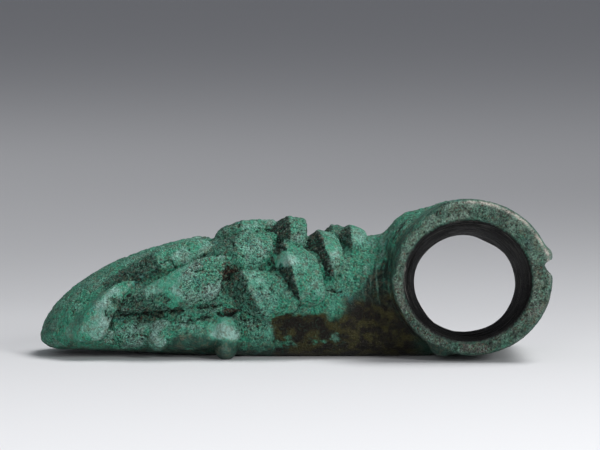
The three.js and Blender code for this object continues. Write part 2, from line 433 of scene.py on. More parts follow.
@dataclass(frozen=True)
class Tongue:
    """A horn-like lappet over the skin, rooted towards the edge and round-ended to the socket.

    Attributes:
        x: Place of the ridge's middle along the blade.
        turn: Angle of the ridge's middle from the crest, in degrees.
        heading: Way over the skin, 0 towards the socket and 90 down the side, in degrees.
        root: Length of the long slope.
        end: Length of the round-ended facet.
        width: Length of the ridge.
        skew: Lean of the ridge along the heading.
        bow: How far the ridge's ends lie ahead of its middle.
        rise: Height of the ridge.
        lip: Share of that height left at the facet's end.
        taper: Width of the root over that of the ridge.
        blunt: Exponent of the slope's climb, low for one that starts steeply.
    """

    x: float
    turn: float
    heading: float
    root: float
    end: float
    width: float
    skew: float
    bow: float
    rise: float
    lip: float
    taper: float
    blunt: float

    girth_radius = 15.0
    rooted = 2.5

    def _breadth(self, behind: Array) -> Array:
        """Returns half the width, narrowing to the root as the place behind to the power 1.2."""
        return self.width / 2.0 * (1.0 - (1.0 - self.taper) * (-behind) ** 1.2)

    def _climb(self, behind: Array, ahead: Array) -> Array:
        """Returns the height over the ridge's: a power up the slope, a soft fall over the facet."""
        slope = 0.04 + 0.96 * clamp01(1.0 + behind) ** self.blunt
        return slope * (1.0 - (1.0 - self.lip) * ahead**1.4)

    def _forward(self, aside: Array) -> Array:
        """Returns how far the ridge lies ahead, a lean plus a bow in the distance aside."""
        return self.skew * aside + self.bow * (2.0 * aside / self.width) ** 2

    def shell(self, skin: BladeSkin, cheek: Cheek) -> Shell:
        """Works out the tongue: its place along and its share across give a height over the skin.

        The slope climbs to the ridge and widens with it. The facet's outline is the arc
        (1 - |t|^2.5)^(1/2.5) of the share across, and the height across is (1 - |t|^3)^(1/2).
        A last row, sunk under the skin, makes the facet's end a wall.

        Args:
            skin: The blade's skin.
            cheek: The side that it lies on.

        Returns:
            The closed tongue, rooted under the skin.
        """
        place = np.concatenate([np.linspace(-1.0, 0.0, 26), np.linspace(0.0, 1.0, 14)[1:], [1.0]])
        behind = np.minimum(place, 0.0)[:, None]
        ahead = np.maximum(place, 0.0)[:, None]
        across = np.sin(np.linspace(-1.0, 1.0, 27) * math.pi / 2.0)
        share = np.concatenate([[-0.9], across, [0.9, 0.0]])[None, :]
        lift = self.rise * self._climb(behind, ahead) * np.sqrt(clamp01(1.0 - np.abs(share) ** 3))
        lift[:, [0, -2, -1]] = -self.rooted
        lift[-1] = -self.rooted
        aside = share * self._breadth(behind)
        along = behind * self.root + ahead * self.end * arc(np.abs(share), 2.5) + self._forward(aside)
        heading = math.radians(self.heading)
        x = self.x + math.cos(heading) * along - math.sin(heading) * aside
        girth = math.sin(heading) * along + math.cos(heading) * aside
        turn = cheek.value * (math.radians(self.turn) + girth / self.girth_radius)
        return Shell.from_rings(skin.over(x, turn, lift))

    def local(self, x: Array, turn: Array) -> tuple[Array, Array, Array]:
        """Finds a point's place on the tongue, undoing the layout of shell().

        Args:
            x: Places along the blade.
            turn: Angles from the crest on the tongue's own side, in radians.

        Returns:
            The place from -1 at the root through 0 on the ridge to 1 at the facet's end, the
            share of the half width, and the tongue's height there, 0 beside it.
        """
        heading = math.radians(self.heading)
        ahead = x - self.x
        girth = self.girth_radius * (turn - math.radians(self.turn))
        aside = -math.sin(heading) * ahead + math.cos(heading) * girth
        near = np.clip(aside, -0.5 * self.width, 0.5 * self.width)
        along = math.cos(heading) * ahead + math.sin(heading) * girth - self._forward(near)
        outline = np.maximum(arc(np.abs(2.0 * near / self.width), 2.5), 0.05)
        place = np.where(along < 0.0, along / self.root, along / (self.end * outline))
        share = aside / self._breadth(np.clip(place, -1.0, 0.0))
        inside = (np.abs(share) < 1.0) & (place > -1.0) & (place < 1.12)
        climb = self._climb(np.clip(place, -1.0, 0.0), np.clip(place, 0.0, 1.0))
        height = self.rise * climb * np.sqrt(clamp01(1.0 - np.abs(share) ** 3))
        return place, share, np.where(inside, height, 0.0)


@dataclass(frozen=True)
class Egg:
    """A mass whose surface is a stretched sphere.

    Attributes:
        middle: Its centre.
        radii: Its half lengths along the axes.
    """

    middle: tuple[float, float, float]
    radii: tuple[float, float, float]

    def shell(self) -> Shell:
        """Works out a sphere over two angles and stretches it by the radii.

        Returns:
            The closed shell.
        """
        down = np.linspace(0.02, math.pi - 0.02, 40)[:, None]
        round_ = np.linspace(0.0, 2.0 * math.pi, 64, endpoint=False)[None, :]
        unit = np.stack(
            np.broadcast_arrays(np.sin(down) * np.cos(round_), np.sin(down) * np.sin(round_), np.cos(down)),
            axis=-1,
        )
        return Shell.from_rings(unit * np.array(self.radii) + np.array(self.middle))


@dataclass(frozen=True)
class Mouth:
    """One end of the socket or of its bore.

    Attributes:
        centre: Its centre.
        across: Half its width along X.
        up: Half its height.
    """

    centre: tuple[float, float, float]
    across: float
    up: float


@dataclass(frozen=True)
class Socket:
    """The socket ring: a tapered tube whose near mouth stands higher than its far one.

    Attributes:
        near: Outline of the near mouth.
        far: Outline of the far mouth.
        bore_near: The hole at the near mouth.
        bore_far: The hole at the far mouth.
        rim: Rounding of each mouth's outer rim.
    """

    near: Mouth = Mouth((43.6, -21.9, 20.8), 19.9, 19.2)
    far: Mouth = Mouth((43.6, 22.1, 17.1), 17.4, 17.2)
    bore_near: Mouth = Mouth((42.5, -21.9, 19.9), 15.4, 14.6)
    bore_far: Mouth = Mouth((43.3, 22.1, 15.6), 12.9, 12.3)
    rim: float = 1.4

    @property
    def axis(self) -> Array:
        """The unit vector from the near mouth to the far one."""
        way = np.array(self.far.centre) - np.array(self.near.centre)
        return way / np.linalg.norm(way)

    def _tube(self, near: Mouth, far: Mouth, share: Array, inset: Array) -> Shell:
        """Carries an ellipse along the axis from one mouth towards the other.

        Args:
            near: The ellipse at share 0.
            far: The ellipse at share 1.
            share: Places of the rings.
            inset: How much smaller each ring is.

        Returns:
            The closed tube.
        """
        share = share[:, None]
        angle = np.linspace(0.0, 2.0 * math.pi, 160, endpoint=False)[None, :]
        centre = np.array(near.centre) + (np.array(far.centre) - np.array(near.centre)) * share[..., None]
        across = near.across + (far.across - near.across) * share - inset[:, None]
        up = near.up + (far.up - near.up) * share - inset[:, None]
        upward = np.cross([1.0, 0.0, 0.0], self.axis)
        rings = centre + (across * np.cos(angle))[..., None] * np.array([1.0, 0.0, 0.0])
        return Shell.from_rings(rings + (up * np.sin(angle))[..., None] * upward)

    def outside(self) -> Shell:
        """Works out the solid tube, with rims rounded by a quarter circle at both mouths.

        Returns:
            The closed shell.
        """
        length = self.far.centre[1] - self.near.centre[1]
        quarter = np.linspace(0.0, math.pi / 2.0, 6)
        lead = (1.0 - np.sin(quarter)) * self.rim / length
        drop = (1.0 - np.cos(quarter)) * self.rim
        share = np.concatenate([lead[::-1], np.linspace(0.05, 0.95, 40), 1.0 - lead])
        inset = np.concatenate([drop[::-1], np.zeros(40), drop])
        return self._tube(self.near, self.far, share, inset)

    def bore(self) -> Shell:
        """Returns the hole's own solid, run past both mouths."""
        share = np.linspace(-0.15, 1.15, 60)
        return self._tube(self.bore_near, self.bore_far, share, np.zeros(60))

    def places(self, points: Array) -> tuple[Array, Array, Array, Array]:
        """Finds where points lie in the socket's own terms.

        Args:
            points: Places, (n, 3).

        Returns:
            The share of the way to the far mouth, the angle round the axis from +X in radians,
            and the distance from the axis over that of the outside and over that of the bore.
        """
        start = np.array(self.near.centre)
        length = np.linalg.norm(np.array(self.far.centre) - start)
        share = ((points - start) @ self.axis) / length
        upward = np.cross([1.0, 0.0, 0.0], self.axis)
        held = np.clip(share, 0.0, 1.0)[:, None]
        ratios = []
        angle = None
        for near, far in ((self.near, self.far), (self.bore_near, self.bore_far)):
            middle = np.array(near.centre) + (np.array(far.centre) - np.array(near.centre)) * held
            side = points[:, 0] - middle[:, 0]
            height = (points - middle) @ upward
            across = near.across + (far.across - near.across) * held[:, 0]
            up = near.up + (far.up - near.up) * held[:, 0]
            ratios.append(np.hypot(side / across, height / up))
            angle = np.arctan2(height, side) if angle is None else angle
        return share, angle, ratios[0], ratios[1]


@dataclass(frozen=True)
class Lappet:
    """One lappet: its shape, and how light and how rough its two faces are.

    Attributes:
        shape: Its tongue.
        tone: Lightness of the slope and of the facet, 0 to 1: partly the crust's own colour, partly painted
            shade on slopes turned from the light and painted light on facets turned to it.
        grain: Roughness of the slope and of the facet, 0 to 1.
    """

    shape: Tongue
    tone: tuple[float, float]
    grain: tuple[float, float]

    def lowered(self, share: float) -> Lappet:
        """Returns the same lappet with its height scaled."""
        return replace(self, shape=replace(self.shape, rise=self.shape.rise * share))


# Slope and facet tones are partly the crust's colour, partly painted shade on the slopes and painted light
# on the facets.
CREST_LAPPETS = (
    Lappet(Tongue(-12.8, 0, 0, 7.2, 7.8, 9.0, -0.1, 0, 4.2, 1.08, 0.7, 0.5), (0.52, 0.88), (0.7, 0.45)),
    Lappet(Tongue(-1.6, 0, 0, 6.0, 4.4, 20, 0.1, 0, 5.1, 0.88, 0.5, 0.5), (0.02, 0.76), (0.9, 0.7)),
    Lappet(Tongue(9.4, 0, 0, 2.8, 2.8, 8, 0, 0, 3.2, 0.80, 0.6, 0.7), (0.20, 0.45), (0.7, 0.6)),
    Lappet(Tongue(13.6, 0, 0, 3.2, 4.0, 18, 0.1, 0, 3.2, 0.45, 0.5, 0.6), (0.22, 0.82), (0.7, 0.4)),
)
SIDE_LAPPETS = (
    Lappet(Tongue(-51.0, 79, 5, 5.5, 6.6, 16.5, -0.52, 3.6, 2.8, 0.95, 0.7, 1.6), (0.56, 0.90), (0.2, 0.3)),
    Lappet(Tongue(-34.3, 38, -14, 14.3, 14, 7.4, 0.1, 0.9, 2.2, 0.80, 0.8, 1.2), (0.24, 0.86), (0.8, 0.5)),
    Lappet(Tongue(-27.9, 66, -10, 18, 10.6, 9.6, -0.55, 3.4, 5.0, 0.60, 0.2, 0.9), (0.92, 0.94), (0.2, 0.8)),
    Lappet(Tongue(-14.3, 34, -8, 10, 8.9, 11.2, -0.35, 2.5, 3.7, 0.66, 0.4, 0.8), (0.38, 0.78), (0.6, 0.7)),
    Lappet(Tongue(-11.0, 73, -4, 5.2, 11, 10.5, 0.55, 0.7, 4.6, 0.45, 0.7, 1.0), (0.34, 0.70), (0.9, 0.6)),
    Lappet(Tongue(-1.2, 54, 8, 4.6, 8, 13, 0.5, 0.7, 5.0, 0.52, 0.7, 0.9), (0.06, 0.74), (0.9, 0.5)),
    Lappet(Tongue(7.2, 34, -16, 4.6, 4.2, 14, 0.05, 0.4, 3.6, 0.60, 0.7, 0.9), (0.02, 0.76), (0.9, 0.5)),
)


@dataclass
class Zones:
    """What the lappets say about each point of the blade.

    Attributes:
        tone: Lightness there.
        grain: Roughness there.
    """

    tone: Array
    grain: Array


@dataclass(frozen=True)
class Lappets:
    """The overlapping rows of horn-like lappets on the blade.

    Attributes:
        crest: Those that sit across the back.
        side: Those that lie on each cheek.
        far_rise: Height of the far cheek's lappets over the near cheek's.
        bare_tone: Lightness of the skin between them.
        bare_grain: Roughness of the skin between them.
    """

    crest: tuple[Lappet, ...] = CREST_LAPPETS
    side: tuple[Lappet, ...] = SIDE_LAPPETS
    far_rise: float = 0.85
    bare_tone: float = 0.62
    bare_grain: float = 0.50

    def placed(self) -> list[tuple[Lappet, Cheek]]:
        """Returns every lappet with the cheek that it lies on."""
        rows = [(lappet, Cheek.NEAR) for lappet in self.crest + self.side]
        return rows + [(lappet.lowered(self.far_rise), Cheek.FAR) for lappet in self.side]

    def zones(self, x: Array, turn: Array) -> Zones:
        """Finds what each point takes from the lappet that stands highest there.

        Args:
            x: Places along the blade.
            turn: Angles from the crest, in radians.

        Returns:
            The zones.
        """
        out = Zones(np.full(len(x), self.bare_tone), np.full(len(x), self.bare_grain))
        lift = np.zeros(len(x))
        for lappet, cheek in self.placed():
            place, _, height = lappet.shape.local(x, turn * cheek.value)
            facet = ease((place + 0.06) / 0.12)
            rooted = ease((-place - 0.8) / 0.2)
            higher = height > lift
            for field_, faces, bare in (
                (out.tone, lappet.tone, self.bare_tone),
                (out.grain, lappet.grain, self.bare_grain),
            ):
                value = faces[0] + (bare - faces[0]) * rooted + (faces[1] - faces[0]) * facet
                field_[higher] = value[higher]
            lift = np.where(higher, height, lift)
        return out


@dataclass(frozen=True)
class Scar:
    """A split, slit or groove in the crust of the near side.

    Attributes:
        start: One end, as x and z.
        end: The other end.
        width: Half its width.
        depth: Its depth, or below 0 for a raised bead.
        reach: How far round the surface it runs, as the least outward lean of the normal.
    """

    start: tuple[float, float]
    end: tuple[float, float]
    width: float
    depth: float
    reach: float = 0.2

    def depth_at(self, points: Array, normals: Array, waver: Array) -> Array:
        """Finds the depth: a bell of the distance from a wavering line.

        Args:
            points: Places, (n, 3).
            normals: Outward normals, (n, 3).
            waver: Sideways shifts that make the line uneven, (n,).

        Returns:
            Depths, (n,).
        """
        start = np.array(self.start)
        way = np.array(self.end) - start
        away = points[:, [0, 2]] - start
        share = np.clip(away @ way / (way @ way), 0.0, 1.0)
        across = np.array([-way[1], way[0]]) / np.linalg.norm(way)
        off = away - share[:, None] * way + (waver * np.sin(math.pi * share))[:, None] * across
        thin = 0.35 + 0.65 * np.sin(math.pi * np.clip(share, 0.08, 0.92))
        facing = ease((-normals[:, 1] - self.reach) / 0.2)
        near = bump(np.linalg.norm(off, axis=-1) / thin, self.width)
        return self.depth * near * facing


@dataclass(frozen=True)
class Dent:
    """A hollow, or a swelling where its depth is below 0.

    Attributes:
        middle: Its centre.
        radii: Its reach along the axes.
        depth: Its depth.
    """

    middle: tuple[float, float, float]
    radii: tuple[float, float, float]
    depth: float

    def amount(self, points: Array) -> Array:
        """Returns a bell of the distance from the middle, in terms of the radii."""
        away = (points - np.array(self.middle)) / np.array(self.radii)
        return np.exp(-np.sum(away * away, axis=-1))


@dataclass(frozen=True)
class Patch:
    """A place where the patina differs from what the lappets give.

    Attributes:
        middle: Its centre.
        radii: Its reach along the axes.
        tone: Lightness in it, 0 to 1.
        grain: Roughness in it, 0 to 1.
        ragged: How uneven its edge is, as a share of its radii.
    """

    middle: tuple[float, float, float]
    radii: tuple[float, float, float]
    tone: float
    grain: float
    ragged: float = 0.25

    def share(self, points: Array, waver: Array) -> Array:
        """Finds how far points lie in it: a smooth step of a wavering distance from its middle.

        Args:
            points: Places, (n, 3).
            waver: Random field of about -1 to 1, (n,).

        Returns:
            1 inside and 0 outside, (n,).
        """
        away = np.linalg.norm((points - np.array(self.middle)) / np.array(self.radii), axis=-1)
        return ease((1.25 + self.ragged * waver - away) / 0.5)


# ---------------------------------------------------------------------------------------------
# Surface
# ---------------------------------------------------------------------------------------------


@dataclass
class Surface:
    """A closed mesh held as arrays, with the means to smooth it and push it along its normals.

    Attributes:
        points: Vertex places in millimetres, (n, 3).
        faces: Vertex numbers of the faces' corners, (m, 4).
        edges: Vertex numbers of the edges' ends, (k, 2).
    """

    points: Array
    faces: Array
    edges: Array

    @classmethod
    def from_mesh(cls, mesh: bpy.types.Mesh) -> Surface:
        """Reads a mesh of four-sided faces.

        Args:
            mesh: The mesh.

        Returns:
            Its surface.
        """
        points = np.empty(len(mesh.vertices) * 3)
        mesh.vertices.foreach_get("co", points)
        corners = np.empty(len(mesh.loops), np.int32)
        mesh.loops.foreach_get("vertex_index", corners)
        edges = np.empty(len(mesh.edges) * 2, np.int32)
        mesh.edges.foreach_get("vertices", edges)
        return cls(points.reshape(-1, 3), corners.reshape(-1, 4), edges.reshape(-1, 2))

    def normals(self) -> Array:
        """Works out outward normals: the sum of the cross products of the faces' diagonals.

        Returns:
            Unit normals, (n, 3).
        """
        a, b, c, d = (self.points[self.faces[:, k]] for k in range(4))
        flat = np.cross(c - a, d - b)
        total = np.zeros_like(self.points)
        for axis in range(3):
            weights = np.repeat(flat[:, axis], 4)
            total[:, axis] = np.bincount(self.faces.ravel(), weights, len(self.points))
        return total / np.maximum(np.linalg.norm(total, axis=1, keepdims=True), 1e-12)

    def averaged(self, values: Array, times: int, share: float | Array = 1.0) -> Array:
        """Blends each vertex's value with the mean of its neighbours'.

        Args:
            values: Numbers or vectors on the vertices.
            times: Number of passes.
            share: Weight of the neighbours' mean, for all or for each vertex.

        Returns:
            The blended values.
        """
        held = values.reshape(len(values), -1).copy()
        count = np.bincount(self.edges.ravel(), minlength=len(held))[:, None]
        one, two = self.edges[:, 0], self.edges[:, 1]
        for _ in range(times):
            mean = np.empty_like(held)
            for column in range(held.shape[1]):
                here = held[:, column]
                mean[:, column] = np.bincount(one, here[two], len(held))
                mean[:, column] += np.bincount(two, here[one], len(held))
            held += share * (mean / np.maximum(count, 1) - held)
        return held.reshape(values.shape)

    def hollowness(self, times: int) -> Array:
        """Tells hollows from ridges: how far the smoothed surface lies outside this one.

        Args:
            times: Passes of smoothing, which set the breadth of what counts.

        Returns:
            Millimetres, above 0 in a hollow and below 0 on a ridge.
        """
        smoothed = self.averaged(self.points, times)
        return np.einsum("ij,ij->i", smoothed - self.points, self.normals())


@dataclass
class Places:
    """Where each vertex of the casting lies, in the terms of the casting's own parts.

    Attributes:
        points: Places before any relief, (n, 3).
        normals: Outward normals there.
        zones: What the lappets say there.
        near_side: How far the normal leans to the near side, 0 to 1.
        bore: 1 on the wall of the bore.
        tube: 1 on the outside of the socket.
        face: 1 on the flat of the mouths.
        depth: Share of the way from the near mouth to the far one.
        angle: Angle round the socket, from the far end of the ring.
        outward: Distance from the socket's axis over that of its outside.
        inward: Distance from the bore's axis over that of its wall.
    """

    points: Array
    normals: Array
    zones: Zones
    near_side: Array
    bore: Array
    tube: Array
    face: Array
    depth: Array
    angle: Array
    outward: Array
    inward: Array

    @classmethod
    def survey(cls, surface: Surface, skin: BladeSkin, lappets: Lappets, socket: Socket) -> Places:
        """Finds the places of a surface's vertices.

        Args:
            surface: The joined surface.
            skin: The blade.
            lappets: The rows over it.
            socket: The socket.

        Returns:
            The places.
        """
        points = surface.points
        normals = surface.normals()
        zones = lappets.zones(points[:, 0], skin.turn_of(points))
        depth, angle, outward, inward = socket.places(points)
        axial = np.abs(normals @ socket.axis)
        bore = ease((1.06 - inward) / 0.03) * (outward < 0.97)
        ring = ease((1.07 - outward) / 0.04)
        face = ring * ease((axial - 0.6) / 0.3) * (1.0 - bore)
        return cls(
            points, normals, zones, ease(0.5 - normals[:, 1]), bore,
            ring * (1.0 - bore) * (1.0 - face), face, depth, angle, outward, inward,
        )

    def round_from(self, start: float, end: float) -> Array:
        """Tells where the angle round the socket lies between two angles.

        Args:
            start: First angle, in degrees from the far end of the ring, rising over the top.
            end: Second angle.

        Returns:
            1 between them and 0 outside, (n,).
        """
        turn = np.mod(np.degrees(self.angle) - start, 360.0)
        return ease(turn / 14.0) * ease((end - start - turn) / 14.0)


@dataclass
class Weathering:
    """Relief left by casting, corrosion and wear, and the masks that tell the finish about it.

    Attributes:
        scars: Splits, slits and grooves on the near side.
        dents: Broad hollows and swellings.
        patches: Places with a lightness and roughness of their own; some are painted shade under the horn
            and the knobs, and some are painted highlights on knob and ridge tops.
        pits: Dirty red-brown hollows.
    """

    scars: tuple[Scar, ...] = (
        Scar((-33.3, 23.7), (-30.2, 24.3), 0.26, 0.9),
        Scar((-30.3, 24.3), (-29.4, 22.3), 0.22, 0.8),
        Scar((-19.0, 11.4), (-14.6, 11.7), 0.60, 2.0),
        Scar((-28.6, 9.3), (-24.4, 9.9), 0.35, 1.0),
        Scar((-24.2, 10.2), (-20.6, 10.6), 0.30, 0.8),
        Scar((-23.6, 12.6), (-19.2, 13.0), 0.45, 1.2),
        Scar((-20.6, 12.2), (-18.0, 13.6), 0.30, 0.8),
        Scar((-12.9, 9.6), (-11.2, 9.8), 0.30, 0.8),
        Scar((7.9, 17.0), (11.6, 16.5), 0.30, 1.0),
        Scar((1.4, 14.1), (3.9, 13.8), 0.30, 0.8),
        Scar((-24.6, 21.9), (-22.4, 22.4), 0.30, 0.8),
        Scar((-46.6, 12.2), (-44.2, 6.0), 0.55, 0.7),
    )
    dents: tuple[Dent, ...] = (
        Dent((-16.6, -10.5, 20.6), (2.8, 4.0, 2.8), 1.0),
        Dent((-43.0, -15.0, 6.0), (7.0, 4.0, 2.6), -0.7),
        Dent((20.0, -14.0, 8.0), (7.0, 4.0, 6.0), 0.5),
        Dent((-21.6, -4.0, 28.6), (2.0, 9.0, 2.6), 0.6),
        Dent((21.2, -4.0, 29.4), (2.6, 9.0, 3.0), -0.6),
        Dent((63.0, -21.0, 26.6), (1.9, 4.0, 1.6), -1.0),
        Dent((38.5, -20.0, 38.6), (6.0, 5.0, 3.0), -0.5),
    )
    patches: tuple[Patch, ...] = (
        Patch((-50.9, -12.0, 4.8), (3.2, 7.0, 2.6), 0.62, 0.40, 0.5),
        Patch((-41.5, -15.0, 5.6), (6.8, 6.0, 3.4), 0.90, 0.80),
        # Painted shade under the long horn.
        Patch((-37.2, -16.0, 12.6), (9.0, 5.0, 3.6), 0.34, 0.90, 0.4),
        # Painted shade under the log between the knobs.
        Patch((-25.5, -16.5, 3.6), (9.5, 4.0, 2.8), 0.27, 0.06, 0.5),
        # Painted light on the log's top.
        Patch((-25.0, -16.4, 9.2), (8.5, 4.0, 1.8), 0.84, 0.60, 0.5),
        # The big knob's top: smoother patina and a painted highlight.
        Patch((-16.7, -17.5, 8.0), (4.2, 4.0, 3.8), 1.00, 0.02, 0.3),
        # Painted shade on the big knob's lower half.
        Patch((-16.9, -17.5, 2.6), (3.6, 4.0, 2.6), 0.20, 0.05, 0.4),
        # The small knob: lighter, partly painted light on its upper edge.
        Patch((-33.0, -16.8, 7.0), (2.6, 4.0, 3.9), 0.96, 0.55, 0.5),
        Patch((-21.0, -15.0, 12.6), (4.5, 5.0, 1.4), 0.66, 1.00, 0.5),
        Patch((-11.0, -14.0, 9.2), (4.5, 5.0, 4.0), 0.72, 0.85, 0.5),
        Patch((19.5, -8.0, 26.0), (4.5, 9.0, 4.5), 0.76, 0.45, 0.5),
        # Painted highlights with smoother patina on two ridge tops.
        Patch((-1.8, -11.0, 24.4), (3.4, 5.0, 1.8), 0.88, 0.10, 0.8),
        Patch((-9.4, -13.4, 19.0), (2.6, 4.0, 1.6), 0.74, 0.10, 0.8),
        Patch((9.6, -10.0, 27.0), (1.6, 5.0, 2.6), 0.90, 0.25),
        Patch((26.2, -14.0, 25.4), (1.8, 6.0, 2.8), 0.62, 0.40, 0.5),
    )
    pits: tuple[Patch, ...] = (
        Patch((-16.6, -12.0, 20.8), (3.0, 5.0, 3.0), 0.62, 1.0, 0.6),
        Patch((-15.4, -14.5, 12.1), (2.4, 4.0, 0.5), 0.2, 1.0, 0.4),
    )

    def relief(self, places: Places, grain: Array) -> Array:
        """Adds up the relief, as heights along the normals.

        Broad unevenness everywhere; flakes, pits, grit and cracks where the crust is rough; flow lines
        where the back runs into the socket; rings round the bore; the scars and the dents.

        Args:
            places: Where the vertices lie.
            grain: Roughness there.

        Returns:
            Heights in millimetres, (n,).
        """
        points = places.points
        broad = 0.12 * Noise(Seed.BROAD).fractal(points, 7.5, 2)
        middle = (0.03 + 0.15 * grain) * Noise(Seed.MIDDLE).fractal(points, 2.6, 2, 0.6)
        flakes = 0.26 * grain * (ease((Noise(Seed.FLAKES).smooth(points, 1.7) + 0.1) / 0.2) - 0.5)
        distance, label = Noise(Seed.PITS).cells(points, 1.4)
        pits = -0.42 * (0.08 + grain) * (label > 0.5) * ease((0.42 - distance) / 0.25)
        grit = 0.20 * (0.12 + grain) * Noise(Seed.GRIT).smooth(points, 0.95)
        line = ease((0.10 - np.abs(Noise(Seed.CRACKS).fractal(points, 4.2, 3, 0.6))) / 0.08)
        cracks = -0.42 * grain * line * ease((Noise(Seed.CRACKED_PLACES).smooth(points, 6.0) + 0.1) / 0.3)
        height = broad + middle + flakes + pits + grit + cracks
        calm = 1.0 - 0.65 * np.maximum(places.bore, self.metal(places))
        height *= calm * (1.0 - 0.45 * places.tube)
        height += places.bore * self.rings(places)
        height += 0.24 * self.flow_zone(places) * self.flow(places)
        waver = 0.7 * Noise(Seed.SCARS).fractal(points, 2.2, 2)
        for scar in self.scars:
            height -= scar.depth_at(points, places.normals, waver)
        for dent in self.dents:
            height -= dent.depth * dent.amount(points)
        return height

    def rings(self, places: Places) -> Array:
        """Works out rings round the bore: waves of the depth, broken up round the axis.

        Args:
            places: Where the vertices lie.

        Returns:
            Heights in millimetres, (n,).
        """
        deep = places.depth * MOUTH_GAP / 1.1
        ring = np.stack([deep, np.cos(places.angle), np.sin(places.angle)], axis=-1)
        slow = ring * np.array([0.45, 1.6, 1.6])
        fine = 0.22 * Noise(Seed.FINE_RINGS).smooth(ring * np.array([1.0, 1.4, 1.4]), 1.0)
        return fine + 0.3 * Noise(Seed.BROAD_RINGS).smooth(slow, 1.0)

    def flow(self, places: Places) -> Array:
        """Works out flow lines round the socket: waves of the distance from its axis."""
        line = np.stack([places.outward * 30.0, places.angle * 3.5, places.points[:, 1] * 0.2], axis=-1)
        return Noise(Seed.FLOW).fractal(line, 1.0, 2)

    def flow_zone(self, places: Places) -> Array:
        """Finds where the flow lines show: from the shoulder down beside the ring.

        Args:
            places: Where the vertices lie.

        Returns:
            1 there and 0 elsewhere, (n,).
        """
        near = ease((places.outward - 0.93) / 0.05) * ease((1.55 - places.outward) / 0.25)
        facing = places.round_from(98.0, 205.0) * ease(0.35 - places.normals[:, 1])
        return near * facing * (1.0 - places.bore)

    def finish(self, surface: Surface, places: Places) -> tuple[Array, Array]:
        """Works out the patina's lightness and roughness.

        Over the lappets' own values come the smooth crest, the foot darkened near the ground as
        painted shade, the socket, the painted shade on the side of the neck, the mouths' faces, the
        patches, some of them painted shade and painted highlights, and the pits. The flow lines then
        lighten and darken it as painted light and shade, the hollows darken it as dark patina and
        painted shade together, and the bore is smooth.

        Args:
            surface: The joined surface.
            places: Where its vertices lie.

        Returns:
            Lightness and roughness, each 0 to 1, (n,).
        """
        points = places.points
        waver = Noise(Seed.PATCHES).fractal(points, 3.0, 3)
        tone = places.zones.tone + 0.07 * Noise(Seed.TONE).fractal(points, 9.0, 2)
        grain = places.zones.grain.copy()
        crest = ease((places.normals[:, 2] - 0.70) / 0.2) * ease((-22.0 - points[:, 0]) / 4.0)
        # Painted shade: the lowest band of the blade, near the ground, is darkened in colour.
        foot = 0.90 * ease((3.4 + 1.0 * waver - points[:, 2]) / 2.4) * ease((8.0 - points[:, 0]) / 4.0)
        layers = [
            (0.6 * crest, 0.66, 0.55),
            (foot, 0.10, 0.12),
            (places.tube, 0.30, 0.25),
            # Painted shade on the side of the neck, in front of the ring.
            (self.painted_neck_shade(places), 0.16, 0.25),
            (places.face, 0.46 + 0.25 * waver, 0.60),
        ]
        layers += [(patch.share(points, waver) * (1.0 - places.face), patch.tone, patch.grain)
                   for patch in self.patches + self.pits]
        for share, light, rough in layers:
            tone += share * (light - tone)
            grain += share * (rough - grain)
        # Painted light and shade along the flow lines, following their relief: lighter on ridges, darker in
        # grooves.
        tone += 0.45 * self.flow_zone(places) * self.flow(places)
        # Darker in the broad hollows: partly dark patina, partly painted shade.
        hollow = ease((surface.hollowness(10) - 0.05) / 0.45)
        tone -= 0.42 * hollow * (1.0 - places.face)
        grain = np.maximum(grain, 0.6 * hollow)
        return clamp01(tone), clamp01(grain * (1.0 - places.bore))

    def _neck_line(self, places: Places) -> Array:
        """Finds the height of the green crust's lower edge beside the neck, rising to the ring.

        Args:
            places: Where the vertices lie.

        Returns:
            Heights in millimetres, (n,).
        """
        climb = clamp01((places.points[:, 0] - 8.0) / 15.5) ** 1.35
        waver = Noise(Seed.NECK).fractal(places.points, 6.0, 4, 0.6)
        return 11.9 + 16.5 * climb + 2.0 * waver + 0.7 * Noise(Seed.NECK_EDGE).smooth(places.points, 1.6)

    def painted_neck_shade(self, places: Places) -> Array:
        """Finds the side of the neck in front of the ring, which is darkened to a smooth dark green as
        painted shade.

        Args:
            places: Where the vertices lie.

        Returns:
            1 there and 0 elsewhere, (n,).
        """
        points = places.points
        under = ease((self._neck_line(places) - points[:, 2]) / 2.5)
        return under * ease((points[:, 0] - 10.0) / 4.0) * (1.0 - places.face) * (1.0 - places.bore)

    def metal(self, places: Places) -> Array:
        """Finds the smooth brown metal low on the neck, but for two broken crusts that lie on it.

        Args:
            places: Where the vertices lie.

        Returns:
            Share of bare metal, 0 to 1, (n,).
        """
        points = places.points
        waver = Noise(Seed.METAL).fractal(points, 4.0, 4, 0.6)
        soft = 1.3 + 4.0 * ease((points[:, 0] - 6.0) / 8.0)
        under = ease((self._neck_line(places) - points[:, 2]) / soft)
        length = ease((points[:, 0] + 5.6 + 1.3 * waver) / 0.8) * ease((34.0 - points[:, 0]) / 6.0)
        low = ease((19.0 + 2.0 * waver - points[:, 2]) / 6.0)
        broken = ease((Noise(Seed.METAL_CRUSTS).fractal(points, 1.5, 2) + 0.15) / 0.25)
        crusts = (
            Patch((-2.6, -12.0, 3.2), (2.6, 6.0, 1.5), 0, 0, 0.9),
            Patch((8.4, -12.0, 4.3), (4.4, 6.0, 0.9), 0, 0, 1.1),
        )
        for crust in crusts:
            low = low * (1.0 - 0.65 * broken * crust.share(points, 1.5 * waver))
        return under * length * low * (1.0 - places.face) * (1.0 - places.bore)

